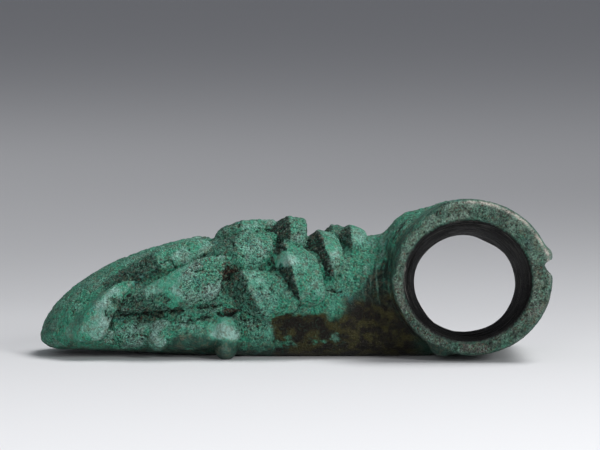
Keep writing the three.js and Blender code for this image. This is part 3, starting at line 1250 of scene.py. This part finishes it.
    def rim(self, places: Places) -> Array:
        """Finds the pale rim of the near mouth, its outer edge and the bore's lip: partly metal worn bare,
        partly a painted highlight where they face the light.

        Args:
            places: Where the vertices lie.

        Returns:
            Share of worn metal and painted highlight, 0 to 1, (n,).
        """
        near = ease((0.085 - places.depth) / 0.03)
        patchy = 0.20 + 0.80 * ease((Noise(Seed.RIM).fractal(places.points, 2.0, 3) + 0.25) / 0.3)
        # Partly wear, partly painted highlight: the outer edge is pale only over its top right, and the
        # bore's lip only round its left and lower side, where they face the light.
        outer = 1.5 * bump(places.outward - 0.960, 0.012) * places.round_from(-8.0, 100.0)
        lip = bump(places.inward - 1.022, 0.016) * places.round_from(150.0, 345.0) * 0.7
        return clamp01(near * patchy * (outer + lip) * (places.normals[:, 1] < 0.2))

    def streaks(self, places: Places) -> Array:
        """Finds the grey lines that run round the bore's wall: partly scratches, partly painted highlights
        on its rings.

        Args:
            places: Where the vertices lie.

        Returns:
            Share of scratched wall, 0 to 1, (n,).
        """
        deep = places.depth * MOUTH_GAP / 0.8
        line = np.stack([deep, 1.3 * np.cos(places.angle), 1.3 * np.sin(places.angle)], axis=-1)
        return 0.6 * places.bore * ease((Noise(Seed.STREAKS).smooth(line, 1.0) - 0.46) / 0.2)


@dataclass
class Casting:
    """The whole bronze: its masses joined, worn, corroded and dressed.

    Attributes:
        skin: The blade.
        lappets: The rows over it.
        socket: The shaft socket.
        shoulders: The masses where the back climbs to the socket.
        drip: A drop of casting metal under the near mouth.
        nick: The notch in the near mouth's outer rim.
        hollows: What is taken out of the blade before the lappets lie on it.
        knobs: The swollen foot along each cheek.
        weathering: Its relief.
        voxel: Edge length of the joined surface.
        soften: Passes that smooth the whole surface, and the share that each one moves.
        fillet_passes: Passes that round the corners.
        triangles: Triangles that are left where the surface is thinned.
        name: The piece's name.
    """

    skin: BladeSkin = BladeSkin()
    lappets: Lappets = Lappets()
    socket: Socket = Socket()
    shoulders: tuple[Egg, ...] = (
        Egg((31.7, -5.0, 27.3), (9.6, 15.0, 9.4)),
        Egg((38.5, -9.0, 29.0), (9.4, 12.4, 9.8)),
    )
    drip: Egg = Egg((36.6, -18.8, 3.6), (3.7, 3.3, 2.8))
    nick: Egg = Egg((64.2, -22.0, 23.4), (2.9, 27.0, 2.2))
    hollows: tuple[Egg, ...] = (
        Egg((-36.0, -17.4, 12.2), (10.5, 4.6, 3.8)),
        Egg((-25.0, -15.5, 0.0), (7.5, 6.5, 2.2)),
    )
    knobs: tuple[Egg, ...] = (
        Egg((-16.7, -13.6, 7.3), (3.8, 5.2, 4.3)),
        Egg((-17.0, -13.6, 3.6), (3.0, 4.8, 4.1)),
        Egg((-25.0, -13.0, 6.6), (11.0, 3.9, 4.4)),
        Egg((-32.5, -14.3, 7.5), (2.8, 3.3, 2.8)),
        Egg((-33.6, -14.3, 4.9), (2.7, 3.2, 3.0)),
        Egg((-17.0, 12.9, 5.1), (6.0, 4.1, 4.5)),
        Egg((-27.0, 13.4, 6.6), (11.0, 3.0, 3.0)),
    )
    weathering: Weathering = field(default_factory=Weathering)
    voxel: float = 0.38
    soften: tuple[int, float] = (2, 0.4)
    fillet_passes: int = 90
    triangles: int = 192_000
    name: str = "casting"

    def _boolean(self, body: bpy.types.Object, other: bpy.types.Object, how: str) -> None:
        """Adds a Boolean modifier to the body.

        Args:
            body: Object that is changed.
            other: The other solid.
            how: UNION or DIFFERENCE.
        """
        step = body.modifiers.new(other.name, "BOOLEAN")
        step.operation = how
        step.solver = "MANIFOLD"
        step.object = other

    def joined(self) -> bpy.types.Mesh:
        """Joins the masses, cuts the bore and the nick, and gives the surface even faces.

        Returns:
            The mesh, in millimetres.
        """
        body = self.skin.shell().to_object("blade_mass")
        steps = [("DIFFERENCE", hollow.shell()) for hollow in self.hollows]
        steps += [("UNION", one.shape.shell(self.skin, cheek)) for one, cheek in self.lappets.placed()]
        steps += [("UNION", egg.shell()) for egg in (*self.shoulders, self.drip, *self.knobs)]
        steps.append(("UNION", self.socket.outside()))
        steps += [("DIFFERENCE", cutter) for cutter in (self.socket.bore(), self.nick.shell())]
        made = []
        for number, (how, mass) in enumerate(steps):
            made.append(mass.to_object(f"mass_{number:02d}"))
            self._boolean(body, made[-1], how)
        even = body.modifiers.new("even", "REMESH")
        even.mode = "VOXEL"
        even.voxel_size = self.voxel
        even.adaptivity = 0.0
        graph = bpy.context.evaluated_depsgraph_get()
        mesh = bpy.data.meshes.new_from_object(body.evaluated_get(graph))
        for thing in [body, *made]:
            old = thing.data
            bpy.data.objects.remove(thing)
            bpy.data.meshes.remove(old)
        return mesh

    def build(self) -> bpy.types.Object:
        """Makes the casting with its relief and the masks that its finish reads.

        Returns:
            The piece, in metres, with its place in its mesh.
        """
        mesh = self.joined()
        surface = Surface.from_mesh(mesh)
        surface.points = surface.averaged(surface.points, *self.soften)
        corners = self._fillet(surface.points)[:, None]
        surface.points = surface.averaged(surface.points, self.fillet_passes, corners)
        places = Places.survey(surface, self.skin, self.lappets, self.socket)
        tone, grain = self.weathering.finish(surface, places)
        height = self.weathering.relief(places, grain)
        surface.points = surface.points + places.normals * height[:, None]
        surface.points[:, 2] = np.maximum(surface.points[:, 2], 0.0)
        masks = {
            "tone": tone,
            "grain": grain,
            "metal": self.weathering.metal(places),
            "rim": self.weathering.rim(places),
            "streak": self.weathering.streaks(places),
            "dirt": self._dirt(places),
            "bore": places.bore,
            "mouth": places.face,
            "hollow": surface.hollowness(3),
            "valley": surface.hollowness(25),
        }
        mesh.vertices.foreach_set("co", (surface.points * MM).ravel())
        for name, values in masks.items():
            attribute = mesh.attributes.new(name, "FLOAT", "POINT")
            attribute.data.foreach_set("value", values.astype(np.float32))
        mesh.polygons.foreach_set("use_smooth", np.ones(len(mesh.polygons), bool))
        mesh.update()
        mesh.name = self.name
        piece = bpy.data.objects.new(self.name, mesh)
        bpy.context.scene.collection.objects.link(piece)
        self._thin(piece, self._plainness(places))
        return piece

    def _dirt(self, places: Places) -> Array:
        """Finds where red-brown dirt sits: in the pits, but not on the mouths' faces.

        Args:
            places: Where the vertices lie.

        Returns:
            Share of dirt, 0 to 1, (n,).
        """
        waver = Noise(Seed.DIRT).fractal(places.points, 2.0, 3)
        shares = [pit.share(places.points, waver) for pit in self.weathering.pits]
        return np.maximum.reduce(shares) * (1.0 - places.face)

    def _fillet(self, points: Array) -> Array:
        """Finds the corners that the casting rounds off: beside the socket, at a knob and at the drip.

        Args:
            points: Places, (n, 3).

        Returns:
            How far each pass of smoothing moves the points, 0 to 1, (n,).
        """
        share, angle, outward, inward = self.socket.places(points)
        corner = ease((outward - 0.88) / 0.07) * ease((1.45 - outward) / 0.2) * ease((inward - 1.10) / 0.05)
        over = ease((np.degrees(angle) - 96.0) / 20.0) * ease((outward - 0.90) / 0.06)
        mouth = np.maximum(ease((share - 0.05) / 0.12), 0.55 * over) * ease((0.95 - share) / 0.12)
        weight = 0.8 * corner * mouth * ease((38.0 - points[:, 0]) / 4.0)
        for egg, strength in ((self.knobs[0], 0.12), (self.drip, 0.2)):
            away = np.linalg.norm((points - np.array(egg.middle)) / np.array(egg.radii), axis=1)
            weight = np.maximum(weight, strength * ease((1.5 - away) / 0.4) * ease((inward - 1.10) / 0.05))
        return weight

    def _plainness(self, places: Places) -> Array:
        """Finds where the surface may lose faces: the bore, the tube and the far side."""
        fine = places.near_side * (1.0 - 0.7 * places.tube) * (1.0 - places.bore)
        return 0.10 + 0.30 * (1.0 - fine)

    def _thin(self, piece: bpy.types.Object, plainness: Array) -> None:
        """Takes faces out of the plainer parts.

        Args:
            piece: The casting.
            plainness: How readily each vertex goes, 0 to 1.
        """
        group = piece.vertex_groups.new(name="plain")
        levels = np.round(plainness * 10.0).astype(int)
        for level in np.unique(levels):
            group.add(np.flatnonzero(levels == level).tolist(), float(level) / 10.0, "REPLACE")
        thin = piece.modifiers.new("thin", "DECIMATE")
        thin.ratio = self.triangles / (2.0 * len(piece.data.polygons))
        thin.vertex_group = group.name
        thin.use_collapse_triangulate = True
        graph = bpy.context.evaluated_depsgraph_get()
        thinned = bpy.data.meshes.new_from_object(piece.evaluated_get(graph))
        piece.modifiers.clear()
        whole = piece.data
        piece.data = thinned
        piece.vertex_groups.clear()
        bpy.data.meshes.remove(whole)
        thinned.name = self.name


# ---------------------------------------------------------------------------------------------
# Finish
# ---------------------------------------------------------------------------------------------


class Graph:
    """A node tree that is put together a node at a time."""

    def __init__(self, tree: bpy.types.NodeTree) -> None:
        """Starts from an empty tree.

        Args:
            tree: The tree.
        """
        self.tree = tree
        tree.nodes.clear()

    def add(self, kind: str, **settings: object) -> bpy.types.Node:
        """Adds a node and sets its properties.

        Args:
            kind: The node's type.
            **settings: Its properties.

        Returns:
            The node.
        """
        node = self.tree.nodes.new(kind)
        for name, value in settings.items():
            setattr(node, name, value)
        return node

    def put(self, node: bpy.types.Node, key: int | str, value: object) -> None:
        """Links a socket or sets a value on one of a node's inputs.

        Args:
            node: The node.
            key: The input's name or number.
            value: A socket, a number or a colour.
        """
        if isinstance(value, bpy.types.NodeSocket):
            self.tree.links.new(value, node.inputs[key])
        elif isinstance(value, tuple) and len(value) == 3 and node.inputs[key].type == "RGBA":
            node.inputs[key].default_value = (*value, 1.0)
        else:
            node.inputs[key].default_value = value

    def math(self, how: str, one: object, two: object = 0.0) -> bpy.types.NodeSocket:
        """Adds a Math node.

        Args:
            how: What it works out.
            one: First number or socket.
            two: Second number or socket.

        Returns:
            Its value.
        """
        node = self.add("ShaderNodeMath", operation=how)
        self.put(node, 0, one)
        self.put(node, 1, two)
        return node.outputs[0]

    def step(self, value: object, low: float, high: float,
             to: tuple[float, float] = (0.0, 1.0)) -> bpy.types.NodeSocket:
        """Adds a smooth step of a value.

        Args:
            value: The value.
            low: Where the step starts.
            high: Where it ends.
            to: What it gives at its start and its end.

        Returns:
            The stepped value.
        """
        node = self.add("ShaderNodeMapRange", interpolation_type="SMOOTHSTEP")
        for key, entry in enumerate((value, low, high, to[0], to[1])):
            self.put(node, key, entry)
        return node.outputs[0]

    def mix(self, share: object, one: object, two: object) -> bpy.types.NodeSocket:
        """Adds a colour mix.

        Args:
            share: Weight of the second colour.
            one: First colour.
            two: Second colour.

        Returns:
            The colour.
        """
        node = self.add("ShaderNodeMix", data_type="RGBA")
        for key, entry in ((0, share), (6, one), (7, two)):
            self.put(node, key, entry)
        return node.outputs[2]

    def height(self, place: object) -> bpy.types.NodeSocket:
        """Adds the height of a place.

        Args:
            place: Position in millimetres.

        Returns:
            The height in millimetres.
        """
        node = self.add("ShaderNodeSeparateXYZ")
        self.put(node, 0, place)
        return node.outputs["Z"]

    def noise(self, place: object, size: float, detail: float, rough: float = 0.5) -> bpy.types.NodeSocket:
        """Adds noise with features of a size in millimetres.

        Args:
            place: Position in millimetres.
            size: Size of its largest features.
            detail: Octaves.
            rough: Height of each octave over the last.

        Returns:
            The noise, about 0 to 1.
        """
        node = self.add("ShaderNodeTexNoise", noise_dimensions="3D")
        self.put(node, "Vector", place)
        self.put(node, "Scale", 1.0 / size)
        self.put(node, "Detail", detail)
        self.put(node, "Roughness", rough)
        return node.outputs["Fac"]

    def grains(self, place: object, size: float, few: float, reach: float) -> bpy.types.NodeSocket:
        """Adds scattered round grains: cells, of which only some show.

        Args:
            place: Position in millimetres.
            size: Distance between grains.
            few: Share of the cells without a grain.
            reach: Radius of a grain as a share of the cell.

        Returns:
            1 on a grain and 0 elsewhere.
        """
        node = self.add("ShaderNodeTexVoronoi", feature="F1")
        self.put(node, "Vector", place)
        self.put(node, "Scale", 1.0 / size)
        parts = self.add("ShaderNodeSeparateColor")
        self.put(parts, 0, node.outputs["Color"])
        shown = self.step(parts.outputs[0], few, few + 0.04)
        return self.math("MULTIPLY", shown, self.step(node.outputs["Distance"], reach, reach * 0.5))

    def ramp(self, value: object, stops: tuple[tuple[float, Colour], ...]) -> bpy.types.NodeSocket:
        """Adds a run of colours.

        Args:
            value: Place in the run, 0 to 1.
            stops: Places and their colours, rising.

        Returns:
            The colour.
        """
        node = self.add("ShaderNodeValToRGB")
        self.put(node, 0, value)
        elements = node.color_ramp.elements
        while len(elements) < len(stops):
            elements.new(0.5)
        for element, (place, colour) in zip(elements, stops):
            element.position = place
            element.color = (*colour, 1.0)
        return node.outputs[0]

    def mask(self, name: str) -> bpy.types.NodeSocket:
        """Returns one of the casting's masks."""
        return self.add("ShaderNodeAttribute", attribute_name=name).outputs["Fac"]


class Layer(Enum):
    """The finish's layers of grains, each with how far its pattern is moved aside, in millimetres."""

    CRUMBS = 83.0
    MOTTLE = 61.0
    PURE_GREEN = 5.0
    DULL_GREEN = 17.0
    FACE_CLOUDS = 41.0
    FACE_COVER = 53.0
    EARTH = 23.0
    STAIN = -7.0
    HOLES = 31.0
    RUST = -11.0


@dataclass(frozen=True)
class Patina:
    """Green corroded bronze with brown metal showing at the neck.

    Attributes:
        greens: The crust from its darkest to its lightest, with the lightness of each.
        vivid: Purer green in the crust.
        grey: Worn grey-green places.
        teal: Blue-green spots.
        brown: Bare brown metal.
        olive: Thin olive skin over the metal.
        bore: The bore's wall, near black: dark metal, partly painted shade inside the hole.
        scratch_and_glint: Grey lines round it: partly scratches, partly painted highlights on its rings.
        mouth_top: The mouths' granular face, high on the ring.
        mouth_foot: The same face near the ground, browner and darker: partly its own colour, partly painted
            shade.
        soot_and_shade: Near-black dirt in pits and in the grain, also painted shade in the crevices.
        fleck: Pale grains on light crust.
        shadowed: Green grains on dark crust.
        rust: Red-brown dirt.
        earth: Brownish soil in the patina.
        rim_wear_and_glint: Pale rim of the near mouth: metal rubbed bare, and a painted highlight.
        grit_size: Size of the grain, in millimetres.
        grit_height: How far the grain stands proud, in metres.
        metal_shine: Metallic share of bare metal.
        specular: Strength of the gloss.
    """

    greens: tuple[tuple[float, Colour], ...] = (
        (0.00, (0.005, 0.018, 0.012)),
        (0.25, (0.017, 0.073, 0.050)),
        (0.50, (0.045, 0.198, 0.135)),
        (0.75, (0.100, 0.370, 0.262)),
        (1.00, (0.300, 0.520, 0.450)),
    )
    vivid: Colour = (0.022, 0.300, 0.178)
    grey: Colour = (0.190, 0.290, 0.250)
    teal: Colour = (0.040, 0.240, 0.210)
    brown: Colour = (0.014, 0.011, 0.008)
    olive: Colour = (0.055, 0.050, 0.016)
    # Near black, darker than the bare metal: partly painted shade inside the hole.
    bore: Colour = (0.002, 0.0018, 0.0016)
    scratch_and_glint: Colour = (0.110, 0.104, 0.094)
    mouth_top: Colour = (0.270, 0.370, 0.300)
    mouth_foot: Colour = (0.150, 0.138, 0.124)
    soot_and_shade: Colour = (0.004, 0.007, 0.005)
    fleck: Colour = (0.200, 0.430, 0.300)
    shadowed: Colour = (0.020, 0.130, 0.085)
    rust: Colour = (0.120, 0.062, 0.042)
    earth: Colour = (0.130, 0.135, 0.085)
    rim_wear_and_glint: Colour = (0.680, 0.620, 0.550)
    grit_size: float = 0.55
    grit_height: float = 0.0022
    metal_shine: float = 0.3
    specular: float = 0.35

    def dress(self, piece: bpy.types.Object) -> None:
        """Gives the piece its material.

        Args:
            piece: The casting.
        """
        material = bpy.data.materials.new("patinated_bronze")
        material.use_nodes = True
        graph = Graph(material.node_tree)
        place = self._place(graph)
        grit = graph.noise(place, self.grit_size, 2.0, 0.65)
        colour = self._colour(graph, place, grit)
        shader = graph.add("ShaderNodeBsdfPrincipled")
        graph.put(shader, "Base Color", colour)
        graph.put(shader, "Roughness", self._roughness(graph, grit))
        graph.put(shader, "Metallic", graph.math("MULTIPLY", graph.mask("metal"), self.metal_shine))
        graph.put(shader, "Specular IOR Level", self.specular)
        graph.put(shader, "Normal", self._normal(graph, grit))
        out = graph.add("ShaderNodeOutputMaterial")
        graph.put(out, "Surface", shader.outputs[0])
        piece.data.materials.clear()
        piece.data.materials.append(material)

    def _place(self, graph: Graph) -> bpy.types.NodeSocket:
        """Finds the position on the casting.

        Args:
            graph: The material's nodes.

        Returns:
            The position in millimetres.
        """
        scale = graph.add("ShaderNodeVectorMath", operation="SCALE")
        graph.put(scale, 0, graph.add("ShaderNodeTexCoord").outputs["Object"])
        graph.put(scale, "Scale", 1.0 / MM)
        return scale.outputs[0]

    def _shifted(self, graph: Graph, place: bpy.types.NodeSocket, layer: Layer) -> bpy.types.NodeSocket:
        """Moves the position aside, so that two layers of grains don't fall together.

        Args:
            graph: The material's nodes.
            place: Position in millimetres.
            layer: The layer, which says how far.

        Returns:
            The moved position.
        """
        by = layer.value
        shift = graph.add("ShaderNodeVectorMath", operation="ADD")
        graph.put(shift, 0, place)
        shift.inputs[1].default_value = (by, 0.6 * by, -0.4 * by)
        return shift.outputs[0]

    def _cloud(self, graph: Graph, place: bpy.types.NodeSocket, layer: Layer, size: float,
               detail: float, rough: float = 0.5) -> bpy.types.NodeSocket:
        """Adds one layer's own noise.

        Args:
            graph: The material's nodes.
            place: Position in millimetres.
            layer: The layer.
            size: Size of its largest features, in millimetres.
            detail: Octaves.
            rough: Height of each octave over the last.

        Returns:
            The noise, about 0 to 1.
        """
        return graph.noise(self._shifted(graph, place, layer), size, detail, rough)

    def _rings(self, graph: Graph, place: bpy.types.NodeSocket) -> bpy.types.NodeSocket:
        """Makes thin broken lines that run round the shaft hole: noise drawn out round its axis.

        Args:
            graph: The material's nodes.
            place: Position in millimetres.

        Returns:
            The lines' share.
        """
        drawn = graph.add("ShaderNodeVectorMath", operation="MULTIPLY")
        graph.put(drawn, 0, place)
        drawn.inputs[1].default_value = (0.07, 1.5, 0.07)
        return graph.step(graph.noise(drawn.outputs[0], 1.0, 2.0, 0.5), 0.62, 0.68)

    def _green(self, graph: Graph, place: bpy.types.NodeSocket) -> bpy.types.NodeSocket:
        """Makes the crust's green: its lightness with clouds of noise, run through the greens.

        Args:
            graph: The material's nodes.
            place: Position in millimetres.

        Returns:
            The colour.
        """
        clouds = graph.math("SUBTRACT", graph.noise(place, 5.0, 4.0, 0.6), 0.5)
        tone = graph.math("ADD", graph.mask("tone"), graph.math("MULTIPLY", clouds, 0.75))
        mottle = graph.math("SUBTRACT", self._cloud(graph, place, Layer.MOTTLE, 1.9, 3.0, 0.7), 0.5)
        tone = graph.math("ADD", tone, graph.math("MULTIPLY", mottle, 0.42))
        colour = graph.ramp(tone, self.greens)
        bright = graph.step(tone, 0.35, 0.70)
        pure = self._cloud(graph, place, Layer.PURE_GREEN, 6.0, 2.0)
        pure = graph.step(pure, 0.43, 0.56, (0.0, 0.80))
        colour = graph.mix(graph.math("MULTIPLY", pure, bright), colour, self.vivid)
        dull = self._cloud(graph, place, Layer.DULL_GREEN, 4.5, 3.0)
        dull = graph.step(dull, 0.53, 0.68, (0.0, 0.55))
        colour = graph.mix(graph.math("MULTIPLY", dull, bright), colour, self.grey)
        spots = graph.step(graph.noise(place, 3.7, 1.0), 0.66, 0.74, (0.0, 0.5))
        return graph.mix(spots, colour, self.teal)

    def _colour(self, graph: Graph, place: bpy.types.NodeSocket,
                grit: bpy.types.NodeSocket) -> bpy.types.NodeSocket:
        """Lays the patina's colours over each other.

        Args:
            graph: The material's nodes.
            place: Position in millimetres.
            grit: The grain.

        Returns:
            The colour.
        """
        metal = graph.mask("metal")
        patch = graph.noise(place, 3.2, 3.0, 0.6)
        colour = self._green(graph, place)
        ridge = graph.step(graph.mask("valley"), -0.20, -0.90, (0.0, 0.45))
        colour = graph.mix(ridge, colour, self.grey)
        # The mouths' face is greener and lighter high up and darker near the ground: partly its own colour,
        # partly painted shade.
        face = graph.mix(graph.step(graph.height(place), 6.0, 32.0), self.mouth_foot, self.mouth_top)
        clouds = self._cloud(graph, place, Layer.FACE_CLOUDS, 5.0, 3.0, 0.6)
        clouds = graph.step(clouds, 0.38, 0.60)
        face = graph.mix(graph.math("MULTIPLY", clouds, 0.75), face, self.soot_and_shade)
        cover = self._cloud(graph, place, Layer.FACE_COVER, 7.0, 2.0)
        cover = graph.step(cover, 0.35, 0.60, (0.95, 0.65))
        colour = graph.mix(graph.math("MULTIPLY", graph.mask("mouth"), cover), colour, face)
        bare = graph.mix(graph.step(patch, 0.42, 0.62), self.brown, self.olive)
        colour = graph.mix(metal, colour, bare)
        tint = self._cloud(graph, place, Layer.EARTH, 1.3, 3.0, 0.7)
        tint = graph.step(tint, 0.50, 0.62, (0.0, 0.55))
        tint = graph.math("MULTIPLY", tint, graph.math("SUBTRACT", 1.0, metal))
        colour = graph.mix(tint, colour, self.earth)
        # Near black in the fine crevices: partly dirt, partly painted shade.
        crevice = graph.step(graph.mask("hollow"), 0.04, 0.20, (0.0, 0.85))
        colour = graph.mix(crevice, colour, self.soot_and_shade)
        edge = graph.step(graph.mask("hollow"), -0.03, -0.18, (0.0, 0.45))
        colour = graph.mix(edge, colour, self.grey)
        stain = self._cloud(graph, place, Layer.STAIN, 1.6, 3.0, 0.7)
        stain = graph.step(stain, 0.48, 0.58, (0.0, 0.8))
        colour = graph.mix(graph.math("MULTIPLY", graph.mask("dirt"), stain), colour, self.rust)
        rind = graph.math("ADD", graph.math("MULTIPLY", graph.mask("grain"), 0.92), 0.08)
        covered = graph.math("SUBTRACT", 1.0, graph.math("MULTIPLY", metal, 0.85))
        rind = graph.math("MULTIPLY", rind, covered)
        low = graph.math("MULTIPLY", graph.step(grit, 0.460, 0.370, (0.0, 0.85)), rind)
        high = graph.math("MULTIPLY", graph.step(grit, 0.530, 0.63, (0.0, 0.80)), rind)
        colour = graph.mix(low, colour, self.soot_and_shade)
        grain = graph.mix(graph.step(graph.mask("tone"), 0.0, 0.8), self.shadowed, self.fleck)
        colour = graph.mix(high, colour, grain)
        holes = graph.grains(self._shifted(graph, place, Layer.HOLES), 1.0, 0.78, 0.42)
        colour = graph.mix(graph.math("MULTIPLY", holes, rind), colour, self.soot_and_shade)
        rust = graph.grains(self._shifted(graph, place, Layer.RUST), 0.8, 0.87, 0.45)
        rust = graph.math("MULTIPLY", rust, rind)
        colour = graph.mix(rust, colour, self.rust)
        colour = self._mottled(graph, place, colour, metal)
        # Painted highlight and wear on the near mouth's rim.
        colour = graph.mix(graph.math("MULTIPLY", graph.mask("rim"), 0.85), colour, self.rim_wear_and_glint)
        # Grey lines round the bore: partly scratches, partly painted highlights on its rings.
        lines = graph.math("MAXIMUM", graph.mask("streak"), self._rings(graph, place))
        wall = graph.mix(lines, self.bore, self.scratch_and_glint)
        return graph.mix(graph.mask("bore"), colour, wall)

    def _mottled(self, graph: Graph, place: bpy.types.NodeSocket, colour: bpy.types.NodeSocket,
                 metal: bpy.types.NodeSocket) -> bpy.types.NodeSocket:
        """Lightens and darkens the crust in crumbs of about half a millimetre, and less on bare metal.

        Args:
            graph: The material's nodes.
            place: Position in millimetres.
            colour: The crust's colour.
            metal: Share of bare metal.

        Returns:
            The colour.
        """
        crumbs = self._cloud(graph, place, Layer.CRUMBS, 0.42, 2.0, 0.7)
        share = graph.math("ADD", graph.math("MULTIPLY", graph.mask("grain"), 0.85), 0.15)
        covered = graph.math("SUBTRACT", 1.0, graph.math("MULTIPLY", metal, 0.6))
        share = graph.math("MULTIPLY", share, covered)
        change = graph.math("MULTIPLY", graph.step(crumbs, 0.38, 0.62, (-0.52, 0.58)), share)
        scale = graph.add("ShaderNodeVectorMath", operation="SCALE")
        graph.put(scale, 0, colour)
        graph.put(scale, "Scale", graph.math("ADD", 1.0, change))
        return scale.outputs[0]

    def _roughness(self, graph: Graph, grit: bpy.types.NodeSocket) -> bpy.types.NodeSocket:
        """Makes the roughness: high on the grain and in the bore, low on metal and the rim.

        Args:
            graph: The material's nodes.
            grit: The grain.

        Returns:
            The roughness.
        """
        rough = graph.math("ADD", graph.math("MULTIPLY", graph.mask("grain"), 0.50), 0.30)
        for name, change in (("bore", 0.45), ("metal", -0.08), ("rim", -0.20)):
            rough = graph.math("ADD", rough, graph.math("MULTIPLY", graph.mask(name), change))
        return graph.math("ADD", rough, graph.math("MULTIPLY", graph.math("SUBTRACT", grit, 0.5), 0.3))

    def _normal(self, graph: Graph, grit: bpy.types.NodeSocket) -> bpy.types.NodeSocket:
        """Makes the grain's normals.

        Args:
            graph: The material's nodes.
            grit: The grain.

        Returns:
            The normal.
        """
        strength = graph.math("ADD", graph.math("MULTIPLY", graph.mask("grain"), 0.80), 0.20)
        node = graph.add("ShaderNodeBump")
        graph.put(node, "Strength", 1.0)
        graph.put(node, "Distance", self.grit_height)
        graph.put(node, "Height", graph.math("MULTIPLY", grit, strength))
        return node.outputs[0]


# ---------------------------------------------------------------------------------------------
# Studio
# ---------------------------------------------------------------------------------------------


@dataclass(frozen=True)
class Softbox:
    """A square studio light.

    Attributes:
        name: Its name.
        place: Where it hangs, in metres.
        aim: The point that it faces, in metres.
        size: Its side, in metres.
        power: Its power, in watts.
        spread: How wide its grid lets the light out, in degrees.
    """

    name: str
    place: tuple[float, float, float]
    aim: tuple[float, float, float]
    size: float
    power: float
    spread: float = 180.0

    def hang(self) -> None:
        """Puts the light in the scene."""
        data = bpy.data.lights.new(self.name, "AREA")
        data.size = self.size
        data.energy = self.power
        data.spread = math.radians(self.spread)
        lamp = bpy.data.objects.new(self.name, data)
        lamp.location = self.place
        way = Vector(self.aim) - Vector(self.place)
        lamp.rotation_euler = way.to_track_quat("-Z", "Y").to_euler()
        bpy.context.scene.collection.objects.link(lamp)


@dataclass(frozen=True)
class Studio:
    """A pale floor under soft light, and the camera.

    Attributes:
        floor_tone: The floor's colour.
        floor_half: Half its side, in metres.
        fill: Light from all round.
        boxes: The lights.
        aim: The point that the camera faces, in metres.
        distance: The camera's distance from it.
        elevation: Its height above the horizon, in degrees.
        lens: Focal length, in millimetres.
        film: Width of the film, in millimetres.
    """

    floor_tone: Colour = (0.77, 0.775, 0.79)
    floor_half: float = 9.0
    fill: Colour = (0.160, 0.164, 0.178)
    boxes: tuple[Softbox, ...] = (
        Softbox("key", (0.60, 0.05, 1.30), (0.0, -0.80, 0.0), 0.80, 7.6, 90.0),
        Softbox("side", (0.95, -1.10, 0.62), (0.0, 0.0, 0.02), 0.45, 8.6),
        Softbox("front", (-0.20, -1.30, 0.30), (-0.02, 0.0, 0.01), 0.35, 2.8),
        Softbox("wash", (-0.45, 0.60, 0.80), (-0.25, 2.20, 0.0), 1.00, 2.7),
    )
    aim: tuple[float, float, float] = (0.00135, 0.0, 0.0322)
    distance: float = 1.1
    elevation: float = 4.0
    lens: float = 264.0
    film: float = 36.0

    def floor(self) -> bpy.types.Object:
        """Makes the floor.

        Returns:
            The floor.
        """
        half = self.floor_half
        mesh = bpy.data.meshes.new("floor")
        corners = [(-half, -half, 0.0), (half, -half, 0.0), (half, half, 0.0), (-half, half, 0.0)]
        mesh.from_pydata(corners, [], [(0, 1, 2, 3)])
        material = bpy.data.materials.new("paper")
        material.use_nodes = True
        graph = Graph(material.node_tree)
        shader = graph.add("ShaderNodeBsdfPrincipled")
        graph.put(shader, "Base Color", self.floor_tone)
        graph.put(shader, "Roughness", 0.9)
        graph.put(shader, "Specular IOR Level", 0.1)
        out = graph.add("ShaderNodeOutputMaterial")
        graph.put(out, "Surface", shader.outputs[0])
        mesh.materials.append(material)
        made = bpy.data.objects.new("floor", mesh)
        bpy.context.scene.collection.objects.link(made)
        return made

    def light(self) -> None:
        """Hangs the lights and sets the light from all round."""
        world = bpy.data.worlds.new("studio")
        world.use_nodes = True
        backdrop = world.node_tree.nodes["Background"]
        backdrop.inputs[0].default_value = (*self.fill, 1.0)
        backdrop.inputs[1].default_value = 1.0
        bpy.context.scene.world = world
        for box in self.boxes:
            box.hang()
        bpy.context.scene.view_settings.view_transform = "Standard"

    def camera(self) -> None:
        """Makes the camera."""
        data = bpy.data.cameras.new("camera")
        data.lens = self.lens
        data.sensor_width = self.film
        data.clip_start = 0.01
        data.clip_end = 50.0
        camera = bpy.data.objects.new("camera", data)
        tilt = math.radians(self.elevation)
        back = Vector((0.0, -math.cos(tilt), math.sin(tilt)))
        camera.location = Vector(self.aim) + back * self.distance
        camera.rotation_euler = (math.pi / 2.0 - tilt, 0.0, 0.0)
        bpy.context.scene.collection.objects.link(camera)
        bpy.context.scene.camera = camera


def main() -> None:
    """Builds the casting and the studio, and reports each piece."""
    logging.basicConfig(level=logging.INFO, format="%(name)s: %(message)s")
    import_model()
    casting = Casting()
    piece = casting.build()
    Patina().dress(piece)
    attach(piece, "root")
    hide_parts(NODE)
    LOG.info("casting: %d vertices", len(piece.data.vertices))
    studio = Studio()
    studio.floor()
    studio.light()
    studio.camera()
    LOG.info("studio: floor, lights and camera")


if __name__ == "__main__":
    main()
